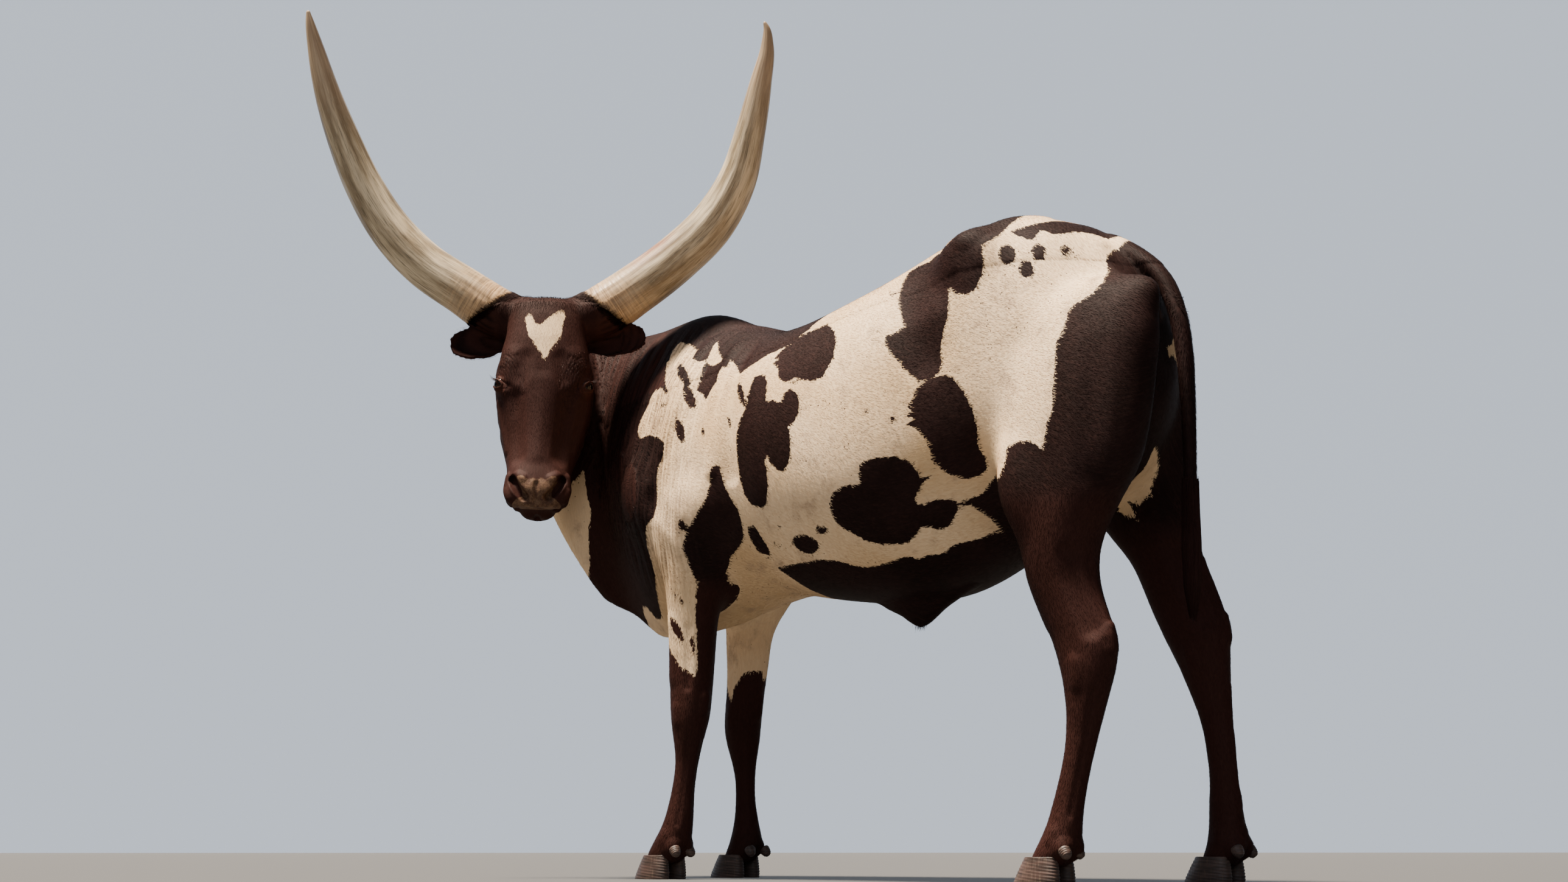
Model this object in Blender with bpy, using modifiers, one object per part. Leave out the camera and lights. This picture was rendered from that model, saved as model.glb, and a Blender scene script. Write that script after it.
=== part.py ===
"""Life-size still model of a long-horned ankole watusi steer, standing with its neck
bent round so that it looks back past its left flank.

Metres, +Z up. The animal faces -Y and its left side is +X. The floor is z = 0 and the
four feet stand on it. The stations below put x = 0 on the middle line of its back, and
the finished animal is moved so that the origin is under the middle of its whole box.

The body is lofted from named stations, melted into one mass, pushed out where bone and
muscle show under the skin, and then parted into its nodes by thin cuts.
"""
import math

import bmesh
import bpy
import numpy as np
from mathutils import Matrix, Vector

GAP = 0.0003                  # clearance that every pair of touching pieces keeps
RING_COUNT = 40               # points around a lofted section
LOFT_STEP = 0.02              # distance between the rings of a loft
MELT_SIZE = 0.012             # grain of the melted body
MELT_SMOOTHING = 9            # smoothing passes over the melted body
BODY_TRIANGLES = 4200         # facets of the whole body before it is parted
MIDDLE = Vector((0.2523, -0.1340, 0.0))   # the middle of the floor under the animal's whole box

# Back, barrel and neck, from the tail head to the head: station point on the ground
# plan, height of the widest level, half-width, top, bottom, then how square the upper
# and the lower half of the section are (2 is an ellipse).
SPINE = [
    # x, y, widest, half-width, top, bottom, upper, lower
    (0.000, 0.828, 1.100, 0.045, 1.185, 1.020, 2.0, 2.0),
    (0.000, 0.805, 1.100, 0.100, 1.242, 0.960, 2.0, 2.0),
    (0.000, 0.765, 1.100, 0.155, 1.315, 0.880, 2.1, 2.0),
    (0.000, 0.690, 1.100, 0.202, 1.392, 0.820, 2.4, 2.0),
    (0.000, 0.600, 1.090, 0.235, 1.436, 0.770, 2.9, 2.0),
    (0.000, 0.500, 1.070, 0.252, 1.446, 0.725, 3.4, 2.1),
    (0.000, 0.400, 1.030, 0.278, 1.433, 0.680, 2.9, 2.2),
    (0.000, 0.250, 0.980, 0.318, 1.396, 0.630, 2.3, 2.2),
    (0.000, 0.080, 0.970, 0.325, 1.350, 0.625, 2.2, 2.2),
    (0.000, -0.080, 0.980, 0.312, 1.320, 0.645, 2.1, 2.2),
    (0.000, -0.200, 0.980, 0.290, 1.320, 0.665, 2.0, 2.2),
    (0.000, -0.330, 0.980, 0.262, 1.358, 0.640, 1.8, 2.1),
    (0.000, -0.470, 0.960, 0.240, 1.392, 0.600, 1.6, 1.9),
    (0.000, -0.600, 0.970, 0.205, 1.400, 0.592, 1.7, 1.6),
    (0.000, -0.700, 1.010, 0.165, 1.398, 0.625, 1.9, 1.4),
    (0.006, -0.780, 1.060, 0.135, 1.395, 0.660, 2.0, 1.3),
    (0.045, -0.855, 1.110, 0.115, 1.398, 0.702, 2.0, 1.2),
    (0.110, -0.885, 1.150, 0.105, 1.400, 0.808, 2.0, 1.2),
    (0.180, -0.870, 1.180, 0.100, 1.400, 0.895, 2.0, 1.3),
    (0.245, -0.830, 1.200, 0.098, 1.400, 0.960, 2.0, 1.5),
    (0.305, -0.772, 1.220, 0.096, 1.395, 1.050, 2.1, 2.0),
    (0.345, -0.732, 1.240, 0.085, 1.375, 1.100, 2.1, 2.0),
]

# Head, in its own frame: a distance down the face from the poll, then the widest level
# measured out of the face, half-width, forehead side, jaw side and the two squarenesses.
POLL = Vector((0.364, -0.721, 1.426))
HEAD_TURN = math.radians(134)         # how far it looks round from straight ahead
FACE_TILT = math.radians(11)          # muzzle nearer to what it looks at than the poll
HEAD_ROLL = math.radians(1.0)
HEAD = [
    # down, widest, half-width, front, back, upper, lower
    (-0.024, -0.075, 0.060, -0.035, -0.120, 2.2, 2.0),
    (-0.006, -0.075, 0.092, -0.012, -0.145, 2.4, 2.0),
    (0.030, -0.075, 0.100, 0.004, -0.165, 2.4, 2.0),
    (0.090, -0.075, 0.103, 0.012, -0.190, 2.6, 2.0),
    (0.150, -0.075, 0.115, 0.012, -0.215, 2.6, 2.0),
    (0.205, -0.078, 0.125, 0.010, -0.240, 2.4, 2.0),
    (0.270, -0.100, 0.119, 0.006, -0.250, 2.0, 2.0),
    (0.330, -0.108, 0.110, 0.002, -0.225, 1.8, 2.0),
    (0.390, -0.095, 0.094, 0.000, -0.180, 1.8, 2.0),
    (0.440, -0.070, 0.082, 0.001, -0.150, 2.0, 2.0),
    (0.480, -0.055, 0.080, 0.006, -0.138, 2.4, 2.0),
    (0.515, -0.055, 0.081, 0.006, -0.130, 2.5, 2.2),
    (0.540, -0.060, 0.076, -0.006, -0.122, 2.4, 2.2),
    (0.555, -0.066, 0.060, -0.022, -0.114, 2.3, 2.0),
    (0.567, -0.074, 0.042, -0.046, -0.104, 2.0, 2.0),
]

# Legs, from the floor up: height, middle across, middle along, half-size along and
# across. The upper rows are the thigh and the shoulder, sunk in the barrel.
HIND_LEFT = [
    (0.030, 0.180, 0.612, 0.050, 0.050),
    (0.078, 0.180, 0.642, 0.052, 0.046),
    (0.120, 0.180, 0.657, 0.045, 0.037),
    (0.162, 0.180, 0.668, 0.042, 0.033),
    (0.220, 0.180, 0.685, 0.040, 0.031),
    (0.290, 0.180, 0.704, 0.042, 0.033),
    (0.374, 0.180, 0.719, 0.054, 0.041),
    (0.430, 0.180, 0.724, 0.067, 0.048),
    (0.480, 0.180, 0.720, 0.078, 0.051),
    (0.540, 0.182, 0.698, 0.081, 0.056),
    (0.620, 0.184, 0.672, 0.084, 0.066),
    (0.683, 0.184, 0.667, 0.092, 0.076),
    (0.760, 0.178, 0.672, 0.125, 0.088),
    (0.840, 0.168, 0.682, 0.163, 0.098),
    (0.940, 0.160, 0.686, 0.186, 0.105),
    (1.040, 0.152, 0.690, 0.195, 0.105),
    (1.140, 0.142, 0.698, 0.195, 0.095),
    (1.220, 0.128, 0.715, 0.150, 0.075),
    (1.280, 0.095, 0.690, 0.090, 0.045),
]
HIND_RIGHT = [
    (0.030, -0.160, 0.808, 0.048, 0.050),
    (0.077, -0.160, 0.838, 0.053, 0.046),
    (0.121, -0.160, 0.836, 0.046, 0.037),
    (0.165, -0.160, 0.834, 0.043, 0.033),
    (0.209, -0.160, 0.832, 0.039, 0.031),
    (0.270, -0.160, 0.828, 0.038, 0.031),
    (0.342, -0.160, 0.820, 0.043, 0.035),
    (0.410, -0.160, 0.806, 0.055, 0.041),
    (0.479, -0.160, 0.792, 0.070, 0.050),
    (0.525, -0.160, 0.780, 0.083, 0.053),
    (0.572, -0.162, 0.761, 0.086, 0.058),
    (0.620, -0.164, 0.742, 0.086, 0.064),
    (0.680, -0.166, 0.716, 0.087, 0.070),
    (0.760, -0.164, 0.676, 0.108, 0.084),
    (0.840, -0.160, 0.652, 0.132, 0.095),
    (0.940, -0.152, 0.642, 0.146, 0.102),
    (1.040, -0.146, 0.642, 0.152, 0.103),
    (1.140, -0.136, 0.648, 0.152, 0.094),
    (1.220, -0.118, 0.665, 0.125, 0.074),
    (1.280, -0.090, 0.640, 0.080, 0.045),
]
FORE_LEFT = [
    (0.030, 0.145, -0.510, 0.050, 0.052),
    (0.077, 0.145, -0.482, 0.056, 0.048),
    (0.127, 0.145, -0.459, 0.046, 0.039),
    (0.177, 0.145, -0.448, 0.039, 0.034),
    (0.227, 0.145, -0.439, 0.035, 0.032),
    (0.277, 0.145, -0.430, 0.036, 0.033),
    (0.327, 0.145, -0.426, 0.044, 0.040),
    (0.377, 0.145, -0.421, 0.055, 0.048),
    (0.428, 0.145, -0.419, 0.060, 0.049),
    (0.500, 0.146, -0.415, 0.064, 0.051),
    (0.580, 0.148, -0.411, 0.066, 0.056),
    (0.640, 0.150, -0.408, 0.073, 0.062),
    (0.700, 0.156, -0.390, 0.098, 0.070),
    (0.770, 0.164, -0.372, 0.140, 0.078),
    (0.860, 0.168, -0.385, 0.165, 0.082),
    (0.980, 0.160, -0.410, 0.160, 0.080),
    (1.100, 0.135, -0.430, 0.140, 0.075),
    (1.230, 0.090, -0.440, 0.110, 0.060),
]
FORE_RIGHT = [
    (0.030, -0.145, -0.532, 0.046, 0.050),
    (0.077, -0.145, -0.503, 0.050, 0.046),
    (0.129, -0.145, -0.500, 0.040, 0.036),
    (0.182, -0.145, -0.503, 0.033, 0.031),
    (0.234, -0.145, -0.505, 0.032, 0.030),
    (0.288, -0.145, -0.509, 0.040, 0.036),
    (0.341, -0.145, -0.514, 0.052, 0.045),
    (0.394, -0.145, -0.513, 0.056, 0.047),
    (0.448, -0.145, -0.506, 0.057, 0.047),
    (0.520, -0.145, -0.498, 0.062, 0.050),
    (0.609, -0.147, -0.492, 0.071, 0.058),
    (0.680, -0.152, -0.460, 0.092, 0.068),
    (0.760, -0.162, -0.410, 0.130, 0.078),
    (0.860, -0.168, -0.400, 0.160, 0.082),
    (0.980, -0.160, -0.415, 0.160, 0.080),
    (1.100, -0.135, -0.430, 0.140, 0.075),
    (1.230, -0.090, -0.440, 0.110, 0.060),
]

# The sheath of the steer, a small pouch under the belly, in the columns of a leg.
SHEATH = [
    (0.558, 0.000, 0.165, 0.014, 0.012),
    (0.570, 0.000, 0.165, 0.032, 0.022),
    (0.590, 0.000, 0.165, 0.056, 0.032),
    (0.615, 0.000, 0.162, 0.090, 0.042),
    (0.645, 0.000, 0.150, 0.150, 0.055),
    (0.680, 0.000, 0.140, 0.180, 0.060),
]

# Bones and muscles that show, each a soft stroke: its middle, how far it reaches along
# each axis, and how far it moves the skin at its middle. Those of a pair are given for
# the left side.
PAIRED_STROKES = {
    "hook": ((0.228, 0.470, 1.345), (0.095, 0.120, 0.100), (0.020, -0.008, 0.026)),
    "loin_hollow": ((0.215, 0.345, 1.280), (0.120, 0.125, 0.120), (-0.020, 0.000, -0.008)),
    "rump_hollow": ((0.150, 0.725, 1.310), (0.090, 0.120, 0.095), (-0.010, 0.000, -0.012)),
    "stifle": ((0.255, 0.590, 0.810), (0.080, 0.100, 0.140), (0.020, -0.014, 0.000)),
    "girth": ((0.280, -0.155, 0.930), (0.080, 0.090, 0.260), (-0.016, 0.000, 0.000)),
    "shoulder_point": ((0.215, -0.550, 0.910), (0.110, 0.100, 0.150), (0.014, -0.022, 0.000)),
    "upper_arm": ((0.250, -0.330, 0.850), (0.080, 0.140, 0.130), (0.022, 0.000, 0.000)),
    "shoulder_blade": ((0.185, -0.425, 1.160), (0.110, 0.120, 0.200), (0.018, 0.000, 0.000)),
    "elbow": ((0.225, -0.215, 0.755), (0.070, 0.070, 0.080), (0.006, 0.018, 0.000)),
}
SINGLE_STROKES = {
    "pin_left": ((0.118, 0.855, 1.215), (0.070, 0.080, 0.080), (0.006, 0.022, 0.012)),
    "pin_right": ((-0.108, 0.790, 1.215), (0.070, 0.080, 0.080), (-0.006, 0.020, 0.012)),
    "hump": ((0.000, -0.470, 1.400), (0.120, 0.200, 0.110), (0.000, 0.000, 0.024)),
    "poll_left": ((0.271, -0.725, 1.408), (0.060, 0.060, 0.060), (0.000, 0.000, 0.020)),
    "poll_right": ((0.357, -0.814, 1.411), (0.060, 0.060, 0.060), (0.000, 0.000, 0.020)),
    "brisket": ((0.000, -0.620, 0.610), (0.100, 0.140, 0.110), (0.000, -0.012, -0.012)),
}

# Horns, each in the plane that both lie in: distance out from the poll, height over it,
# distance behind it, and the radius there. They differ a little, as real ones do.
HORN_TURN = math.radians(131)
HORN_LEAN = math.radians(11.2)        # the tips lean forward of the poll
HORN_MIDDLE = -0.007                  # how far left of the poll the pair is centred
HORN_RIGHT = [
    # out, up, back, radius
    (0.050, -0.060, 0.074, 0.052),
    (0.124, -0.034, 0.076, 0.065),
    (0.220, 0.026, 0.082, 0.063),
    (0.313, 0.088, 0.090, 0.060),
    (0.397, 0.173, 0.096, 0.056),
    (0.468, 0.286, 0.098, 0.050),
    (0.522, 0.410, 0.094, 0.043),
    (0.562, 0.526, 0.086, 0.034),
    (0.592, 0.647, 0.076, 0.021),
    (0.605, 0.710, 0.070, 0.011),
    (0.609, 0.736, 0.068, 0.005),
]
HORN_LEFT = [
    (0.050, -0.060, 0.074, 0.052),
    (0.125, -0.034, 0.076, 0.066),
    (0.226, 0.030, 0.082, 0.065),
    (0.328, 0.108, 0.090, 0.062),
    (0.416, 0.194, 0.096, 0.059),
    (0.479, 0.301, 0.098, 0.051),
    (0.515, 0.430, 0.094, 0.040),
    (0.542, 0.554, 0.086, 0.029),
    (0.559, 0.650, 0.077, 0.017),
    (0.557, 0.692, 0.072, 0.009),
    (0.551, 0.708, 0.070, 0.004),
]

# Ears, in the head's frame: root and tip (to the left, down, out of the face), width
# at the widest and thickness of the shell.
EAR_LEFT = ((0.088, 0.080, -0.110), (0.252, 0.062, -0.075))
EAR_RIGHT = ((-0.088, 0.070, -0.110), (-0.246, 0.106, -0.075))
EAR_WIDTH = 0.094
EAR_CUP = 0.026
EAR_ROOT = 0.50                       # share of the width at the root
EAR_FULL = 0.45                       # share of the length where the ear is widest
EAR_ROUND = 0.60                      # and where its tip starts to round off
EAR_TIP = 0.10
EAR_SHELL = 0.010

EYE_RADIUS = 0.021
EYE_PLACE = (0.102, 0.222, -0.046)    # left eye in the head's frame; the right mirrors it

# Tail, from the back of the croup to the tip of its switch.
TAIL_RUN = [
    # x, y, z, radius across, radius along
    (0.000, 0.640, 1.380, 0.034, 0.026),
    (0.000, 0.715, 1.358, 0.034, 0.026),
    (0.000, 0.775, 1.318, 0.032, 0.025),
    (0.002, 0.826, 1.265, 0.029, 0.024),
    (0.006, 0.856, 1.200, 0.027, 0.023),
    (0.010, 0.874, 1.110, 0.025, 0.022),
    (0.012, 0.880, 1.000, 0.022, 0.020),
    (0.014, 0.880, 0.860, 0.019, 0.018),
    (0.016, 0.879, 0.760, 0.019, 0.018),
    (0.017, 0.878, 0.680, 0.023, 0.020),
    (0.018, 0.877, 0.600, 0.020, 0.017),
    (0.019, 0.876, 0.525, 0.006, 0.006),
]
TAIL_CUTS = (1.130, 0.760)            # heights at which the tail is parted

# Claws: the two halves of each hoof, and the pair of dewclaws behind each fetlock.
CLAW_LENGTH = 0.118
CLAW_WIDTH = 0.048
CLAW_HEIGHT = 0.056
CLAW_SPLAY = math.radians(5)
DEWCLAW_RADIUS = 0.0180
DEWCLAW_LENGTH = 0.028
DEWCLAW_ROUND = 0.006
DEWCLAW_TAPER = 0.62
DEWCLAW_TILT = math.radians(38)
DEWCLAW_TURN = math.radians(14)


# Where the body is parted: each region is a box, its low and high corner.
NECK_CUT = -0.600
FORE_TOP = 0.640
FORE_INNER = 0.070
FORE_BACK = -0.270
HIND_TOP = 0.735
HIND_FRONT = 0.535
KNEE = {"fore_left": 0.380, "fore_right": 0.395}
HOCK = {"hind_left": 0.435, "hind_right": 0.480}
SHEATH_TOP = 0.620
EDGE = 2.0                            # far outside the animal

COAT_BROWN = (0.030, 0.013, 0.011)
COAT_CREAM = (0.82, 0.73, 0.60)
HORN_COLOUR = (0.48, 0.42, 0.31)
CLAW_COLOUR = (0.10, 0.075, 0.060)
EYE_COLOUR = (0.012, 0.008, 0.006)


def clear_scene():
    """Remove whatever the scene holds, so that only the animal is left."""
    for leftover in list(bpy.data.objects):
        bpy.data.objects.remove(leftover, do_unlink=True)


def collection(name):
    """A new collection in the scene."""
    made = bpy.data.collections.new(name)
    bpy.context.scene.collection.children.link(made)
    return made


def move_to(thing, group):
    """Put an object in one collection only."""
    for home in list(thing.users_collection):
        home.objects.unlink(thing)
    group.objects.link(thing)


def material(name, colour, roughness):
    """A Principled material of one colour."""
    made = bpy.data.materials.new(name)
    made.use_nodes = True
    shader = made.node_tree.nodes["Principled BSDF"]
    shader.inputs["Base Color"].default_value = (*colour, 1.0)
    shader.inputs["Roughness"].default_value = roughness
    shader.inputs["Metallic"].default_value = 0.0
    return made


def frame_axes(turn, tilt, roll):
    """The axes of a head that looks round by turn, tips its face forward at the bottom
    by tilt and leans by roll: to its own left, down its face and out of its face."""
    ahead = Vector((math.sin(turn), -math.cos(turn), 0.0))
    up = Vector((0.0, 0.0, 1.0))
    left = up.cross(ahead)
    down = -up * math.cos(tilt) + ahead * math.sin(tilt)
    out = ahead * math.cos(tilt) + up * math.sin(tilt)
    leaned_left = left * math.cos(roll) + down * math.sin(roll)
    leaned_down = down * math.cos(roll) - left * math.sin(roll)
    return leaned_left, leaned_down, out


HEAD_LEFT, HEAD_DOWN, HEAD_OUT = frame_axes(HEAD_TURN, FACE_TILT, HEAD_ROLL)


def on_head(left, down, out):
    """A point of the head's own frame, in the world."""
    return POLL + HEAD_LEFT * left + HEAD_DOWN * down + HEAD_OUT * out


def smooth_rows(rows, step):
    """Rows of numbers blended into a finer list: a cubic through each pair of rows, with
    the slope at a row taken from its two neighbours. The first three columns are places,
    and their spacing sets how many rows go between two."""
    table = np.array(rows, dtype=float)
    run = np.linalg.norm(np.diff(table[:, :3], axis=0), axis=1)
    at = np.concatenate(([0.0], np.cumsum(run)))
    slopes = np.gradient(table, at, axis=0)
    count = max(2, int(round(at[-1] / step)) + 1)
    fine = np.linspace(0.0, at[-1], count)
    low = np.clip(np.searchsorted(at, fine, side="right") - 1, 0, len(at) - 2)
    length = (at[low + 1] - at[low])[:, None]
    t = ((fine - at[low])[:, None]) / length
    start, end = table[low], table[low + 1]
    start_slope, end_slope = slopes[low] * length, slopes[low + 1] * length
    return ((2 * t**3 - 3 * t**2 + 1) * start + (t**3 - 2 * t**2 + t) * start_slope
            + (3 * t**2 - 2 * t**3) * end + (t**3 - t**2) * end_slope)


def section(half_width, rise, fall, squareness_up, squareness_down, count=RING_COUNT):
    """A rounded section: across is half_width times the cosine and height is rise or fall
    times the sine, both over the root, of the order squareness, of the sum of the
    squareness powers of the two. That spaces the points evenly round a square section."""
    turn = np.linspace(0.0, 2.0 * math.pi, count, endpoint=False)
    sine, cosine = np.sin(turn), np.cos(turn)
    upper = sine >= 0.0
    square = np.where(upper, squareness_up, squareness_down)
    root = (np.abs(sine) ** square + np.abs(cosine) ** square) ** (1.0 / square)
    return half_width * cosine / root, np.where(upper, rise, fall) * sine / root


def mesh_object(name, points, faces, group):
    """An object of the given points and faces, with its faces turned outwards."""
    shape = bpy.data.meshes.new(name)
    shape.from_pydata([tuple(map(float, point)) for point in points], [], faces)
    edit = bmesh.new()
    edit.from_mesh(shape)
    bmesh.ops.recalc_face_normals(edit, faces=edit.faces)
    edit.to_mesh(shape)
    edit.free()
    made = bpy.data.objects.new(name, shape)
    group.objects.link(made)
    return made


def loft(name, rings, group):
    """A closed skin over rings of equal count, each end closed by one face."""
    count = len(rings[0])
    points = np.concatenate(rings)
    faces = [tuple(range(count))]
    for ring in range(len(rings) - 1):
        base = ring * count
        for k in range(count):
            after = (k + 1) % count
            faces.append((base + k, base + after, base + count + after, base + count + k))
    last = (len(rings) - 1) * count
    faces.append(tuple(range(last + count - 1, last - 1, -1)))
    return mesh_object(name, points, faces, group)


def spine_loft(group):
    """Barrel, chest and neck: upright sections set across a path on the ground plan."""
    rows = [(x, y, 0.0, wide, width, top, bottom, upper, lower)
            for x, y, wide, width, top, bottom, upper, lower in SPINE]
    fine = smooth_rows(rows, LOFT_STEP)
    ahead = np.gradient(fine[:, :2], axis=0)
    ahead /= np.linalg.norm(ahead, axis=1)[:, None]
    rings = []
    for row, (ax, ay) in zip(fine, ahead):
        x, y, _, wide, width, top, bottom, upper, lower = row
        across, height = section(width, top - wide, wide - bottom, upper, lower)
        rings.append(np.stack([x - ay * across, y + ax * across, wide + height], axis=1))
    return loft("spine_mass", rings, group)


def head_loft(group):
    """The head: sections across the face, from the poll down to the lips."""
    rows = [(down, 0.0, 0.0, wide, width, front, back, upper, lower)
            for down, wide, width, front, back, upper, lower in HEAD]
    rings = []
    for row in smooth_rows(rows, LOFT_STEP * 0.6):
        down, _, _, wide, width, front, back, upper, lower = row
        across, out = section(width, front - wide, wide - back, upper, lower)
        rings.append(np.array([on_head(a, down, wide + o) for a, o in zip(across, out)]))
    return loft("head_mass", rings, group)


def upright_loft(name, rows, group):
    """A leg or a pouch: level sections, narrow across and long fore and aft."""
    table = [(x, y, z, along, across) for z, x, y, along, across in rows]
    rings = []
    for x, y, z, along, across in smooth_rows(table, LOFT_STEP * 0.8):
        side, length = section(across, along, along, 2.1, 2.1)
        rings.append(np.stack([x + side, y + length, np.full(len(side), z)], axis=1))
    return loft(name, rings, group)


def stroke(points, middle, reach, push):
    """Move the points near a middle by push times the square of one less the squared
    distance, each axis counted in reaches, so that the stroke fades to nothing."""
    away = (points - np.array(middle)) / np.array(reach)
    near = np.clip(1.0 - (away ** 2).sum(axis=1), 0.0, 1.0) ** 2
    return points + near[:, None] * np.array(push)


def shaped(points):
    """The melted body's points with every bone and muscle stroke applied."""
    for middle, reach, push in PAIRED_STROKES.values():
        for side in (1.0, -1.0):
            mirror = np.array([side, 1.0, 1.0])
            points = stroke(points, np.array(middle) * mirror, reach, np.array(push) * mirror)
    for middle, reach, push in SINGLE_STROKES.values():
        points = stroke(points, middle, reach, push)
    return points


def joined(name, pieces):
    """One object that holds the meshes of all the pieces."""
    for other in list(bpy.context.selected_objects):
        other.select_set(False)
    for piece in pieces:
        piece.select_set(True)
    bpy.context.view_layer.objects.active = pieces[0]
    bpy.ops.object.join()
    pieces[0].name = name
    return pieces[0]


def settled(thing):
    """Make an object's modifiers part of its mesh, so that the mesh can be cut."""
    graph = bpy.context.evaluated_depsgraph_get()
    final = bpy.data.meshes.new_from_object(thing.evaluated_get(graph))
    thing.modifiers.clear()
    thing.data = final
    return thing


def melted_body(group):
    """All the lofts and swells melted into one smooth closed skin of few facets."""
    pieces = [spine_loft(group), head_loft(group)]
    for name, rows in (("hind_left", HIND_LEFT), ("hind_right", HIND_RIGHT),
                       ("fore_left", FORE_LEFT), ("fore_right", FORE_RIGHT),
                       ("pouch", SHEATH)):
        pieces.append(upright_loft(name + "_mass", rows, group))
    body = joined("body_mass", pieces)
    remesh = body.modifiers.new("melt", "REMESH")
    remesh.mode = "VOXEL"
    remesh.voxel_size = MELT_SIZE
    remesh.adaptivity = 0.0
    relax = body.modifiers.new("relax", "SMOOTH")
    relax.factor = 0.5
    relax.iterations = MELT_SMOOTHING
    settled(body)
    points = np.empty(len(body.data.vertices) * 3, dtype=np.float32)
    body.data.vertices.foreach_get("co", points)
    moved = shaped(points.reshape(-1, 3).astype(float))
    body.data.vertices.foreach_set("co", moved.astype(np.float32).ravel())
    body.data.calc_loop_triangles()
    facets = len(body.data.loop_triangles)
    thin = body.modifiers.new("thin", "DECIMATE")
    thin.ratio = BODY_TRIANGLES / facets
    thin.use_collapse_triangulate = True
    settled(body)
    body.hide_render = True
    body.display_type = "WIRE"
    return body


def region(name, low, high, group, axes=None, middle=None):
    """A box used as a cutter, square to the world or to three axes about a middle."""
    bpy.ops.mesh.primitive_cube_add(size=1.0)
    made = bpy.context.object
    made.name = name
    low, high = Vector(low), Vector(high)
    size = high - low
    place = Matrix.Translation((low + high) / 2.0) @ Matrix.Diagonal((*size, 1.0))
    if axes:
        turn = Matrix(axes).transposed().to_4x4()
        place = Matrix.Translation(middle) @ turn @ place
    made.data.transform(place)
    if place.determinant() < 0.0:
        made.data.flip_normals()
    move_to(made, group)
    made.hide_render = True
    made.display_type = "WIRE"
    return made


def copy_of(source, name, group):
    """A second object with its own copy of the mesh."""
    made = bpy.data.objects.new(name, source.data.copy())
    group.objects.link(made)
    return made


def keep_inside(piece, cutter):
    """Keep only what lies inside the cutter."""
    cut = piece.modifiers.new("inside", "BOOLEAN")
    cut.operation = "INTERSECT"
    cut.solver = "EXACT"
    cut.object = cutter


def cut_away(piece, cutter):
    """Take away what lies inside the cutter."""
    cut = piece.modifiers.new("away", "BOOLEAN")
    cut.operation = "DIFFERENCE"
    cut.solver = "EXACT"
    cut.object = cutter


def body_regions(grow, group):
    """The boxes that part the body, each grown outwards by the given clearance."""
    wide = Vector((grow, grow, grow))

    def box(name, low, high, **placed):
        return region(name, Vector(low) - wide, Vector(high) + wide, group, **placed)

    made = {
        "head": box("head_region", (-0.130, -0.06, -0.255), (0.130, 0.68, 0.12),
                    axes=(HEAD_LEFT, HEAD_DOWN, HEAD_OUT), middle=POLL),
        "neck": box("neck_region", (-EDGE, -EDGE, 0.0), (EDGE, NECK_CUT, EDGE)),
        "pouch": box("pouch_region", (-0.2, 0.0, 0.5), (0.2, 0.4, SHEATH_TOP)),
    }
    for side, sign in (("left", 1.0), ("right", -1.0)):
        for name, inner, front, back, top in (
                ("fore", FORE_INNER, NECK_CUT + GAP, FORE_BACK, FORE_TOP),
                ("hind", GAP / 2.0 + grow, HIND_FRONT, EDGE, HIND_TOP)):
            near, far = sorted((sign * inner, sign * EDGE))
            leg = name + "_" + side
            made[leg] = box(leg + "_region", (near, front, -0.1), (far, back, top))
            joint = KNEE[leg] if name == "fore" else HOCK[leg]
            made[leg + "_low"] = box(leg + "_low_region", (near, front, -0.1), (far, back, joint))
    return made


def body_nodes(body, exact, grown, group):
    """Part the melted body into head, neck, trunk, sheath and the lengths of each leg."""
    nodes = {}

    def node(name, inside=None, outside=()):
        made = copy_of(body, name, group)
        if inside:
            keep_inside(made, exact[inside])
        for other in outside:
            cut_away(made, grown[other])
        nodes[name] = made

    node("head", "head")
    node("neck", "neck", ("head",))
    node("sheath", "pouch")
    legs = ("fore_left", "fore_right", "hind_left", "hind_right")
    node("trunk", None, ("neck", "pouch") + legs)
    for leg in legs:
        upper = "forearm" if leg.startswith("fore") else "thigh"
        lower = "fore_cannon" if leg.startswith("fore") else "hind_cannon"
        side = leg.split("_")[1]
        node(upper + "_" + side, leg, (leg + "_low",))
        node(lower + "_" + side, leg + "_low")
    return nodes


def tube(name, rows, group, sides=16, step=0.03):
    """A tube along a run of middle points, each with a radius across and one along."""
    fine = smooth_rows(rows, step)
    ahead = np.gradient(fine[:, :3], axis=0)
    rings = []
    side = None
    for row, along in zip(fine, ahead):
        along = Vector(along).normalized()
        guide = side if side else along.orthogonal()
        side = (guide - along * guide.dot(along)).normalized()
        other = along.cross(side)
        turn = np.linspace(0.0, 2.0 * math.pi, sides, endpoint=False)
        rings.append(np.array([Vector(row[:3]) + side * (row[3] * math.cos(t))
                               + other * (row[4] * math.sin(t)) for t in turn]))
    return loft(name, rings, group)


def horn(name, side, run, group):
    """A horn, from its root inside the head to its tip."""
    ahead = Vector((math.sin(HORN_TURN), -math.cos(HORN_TURN), 0.0))
    up = Vector((0.0, 0.0, 1.0))
    out = up.cross(ahead) * side
    rise = up * math.cos(HORN_LEAN) + ahead * math.sin(HORN_LEAN)
    away = up * math.sin(HORN_LEAN) - ahead * math.cos(HORN_LEAN)
    rows = []
    for far, high, back, radius in run:
        point = POLL + out * (far + side * HORN_MIDDLE) + rise * high + away * back
        rows.append((*point, radius, radius))
    return tube(name, rows, group, sides=12, step=0.070)


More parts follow.
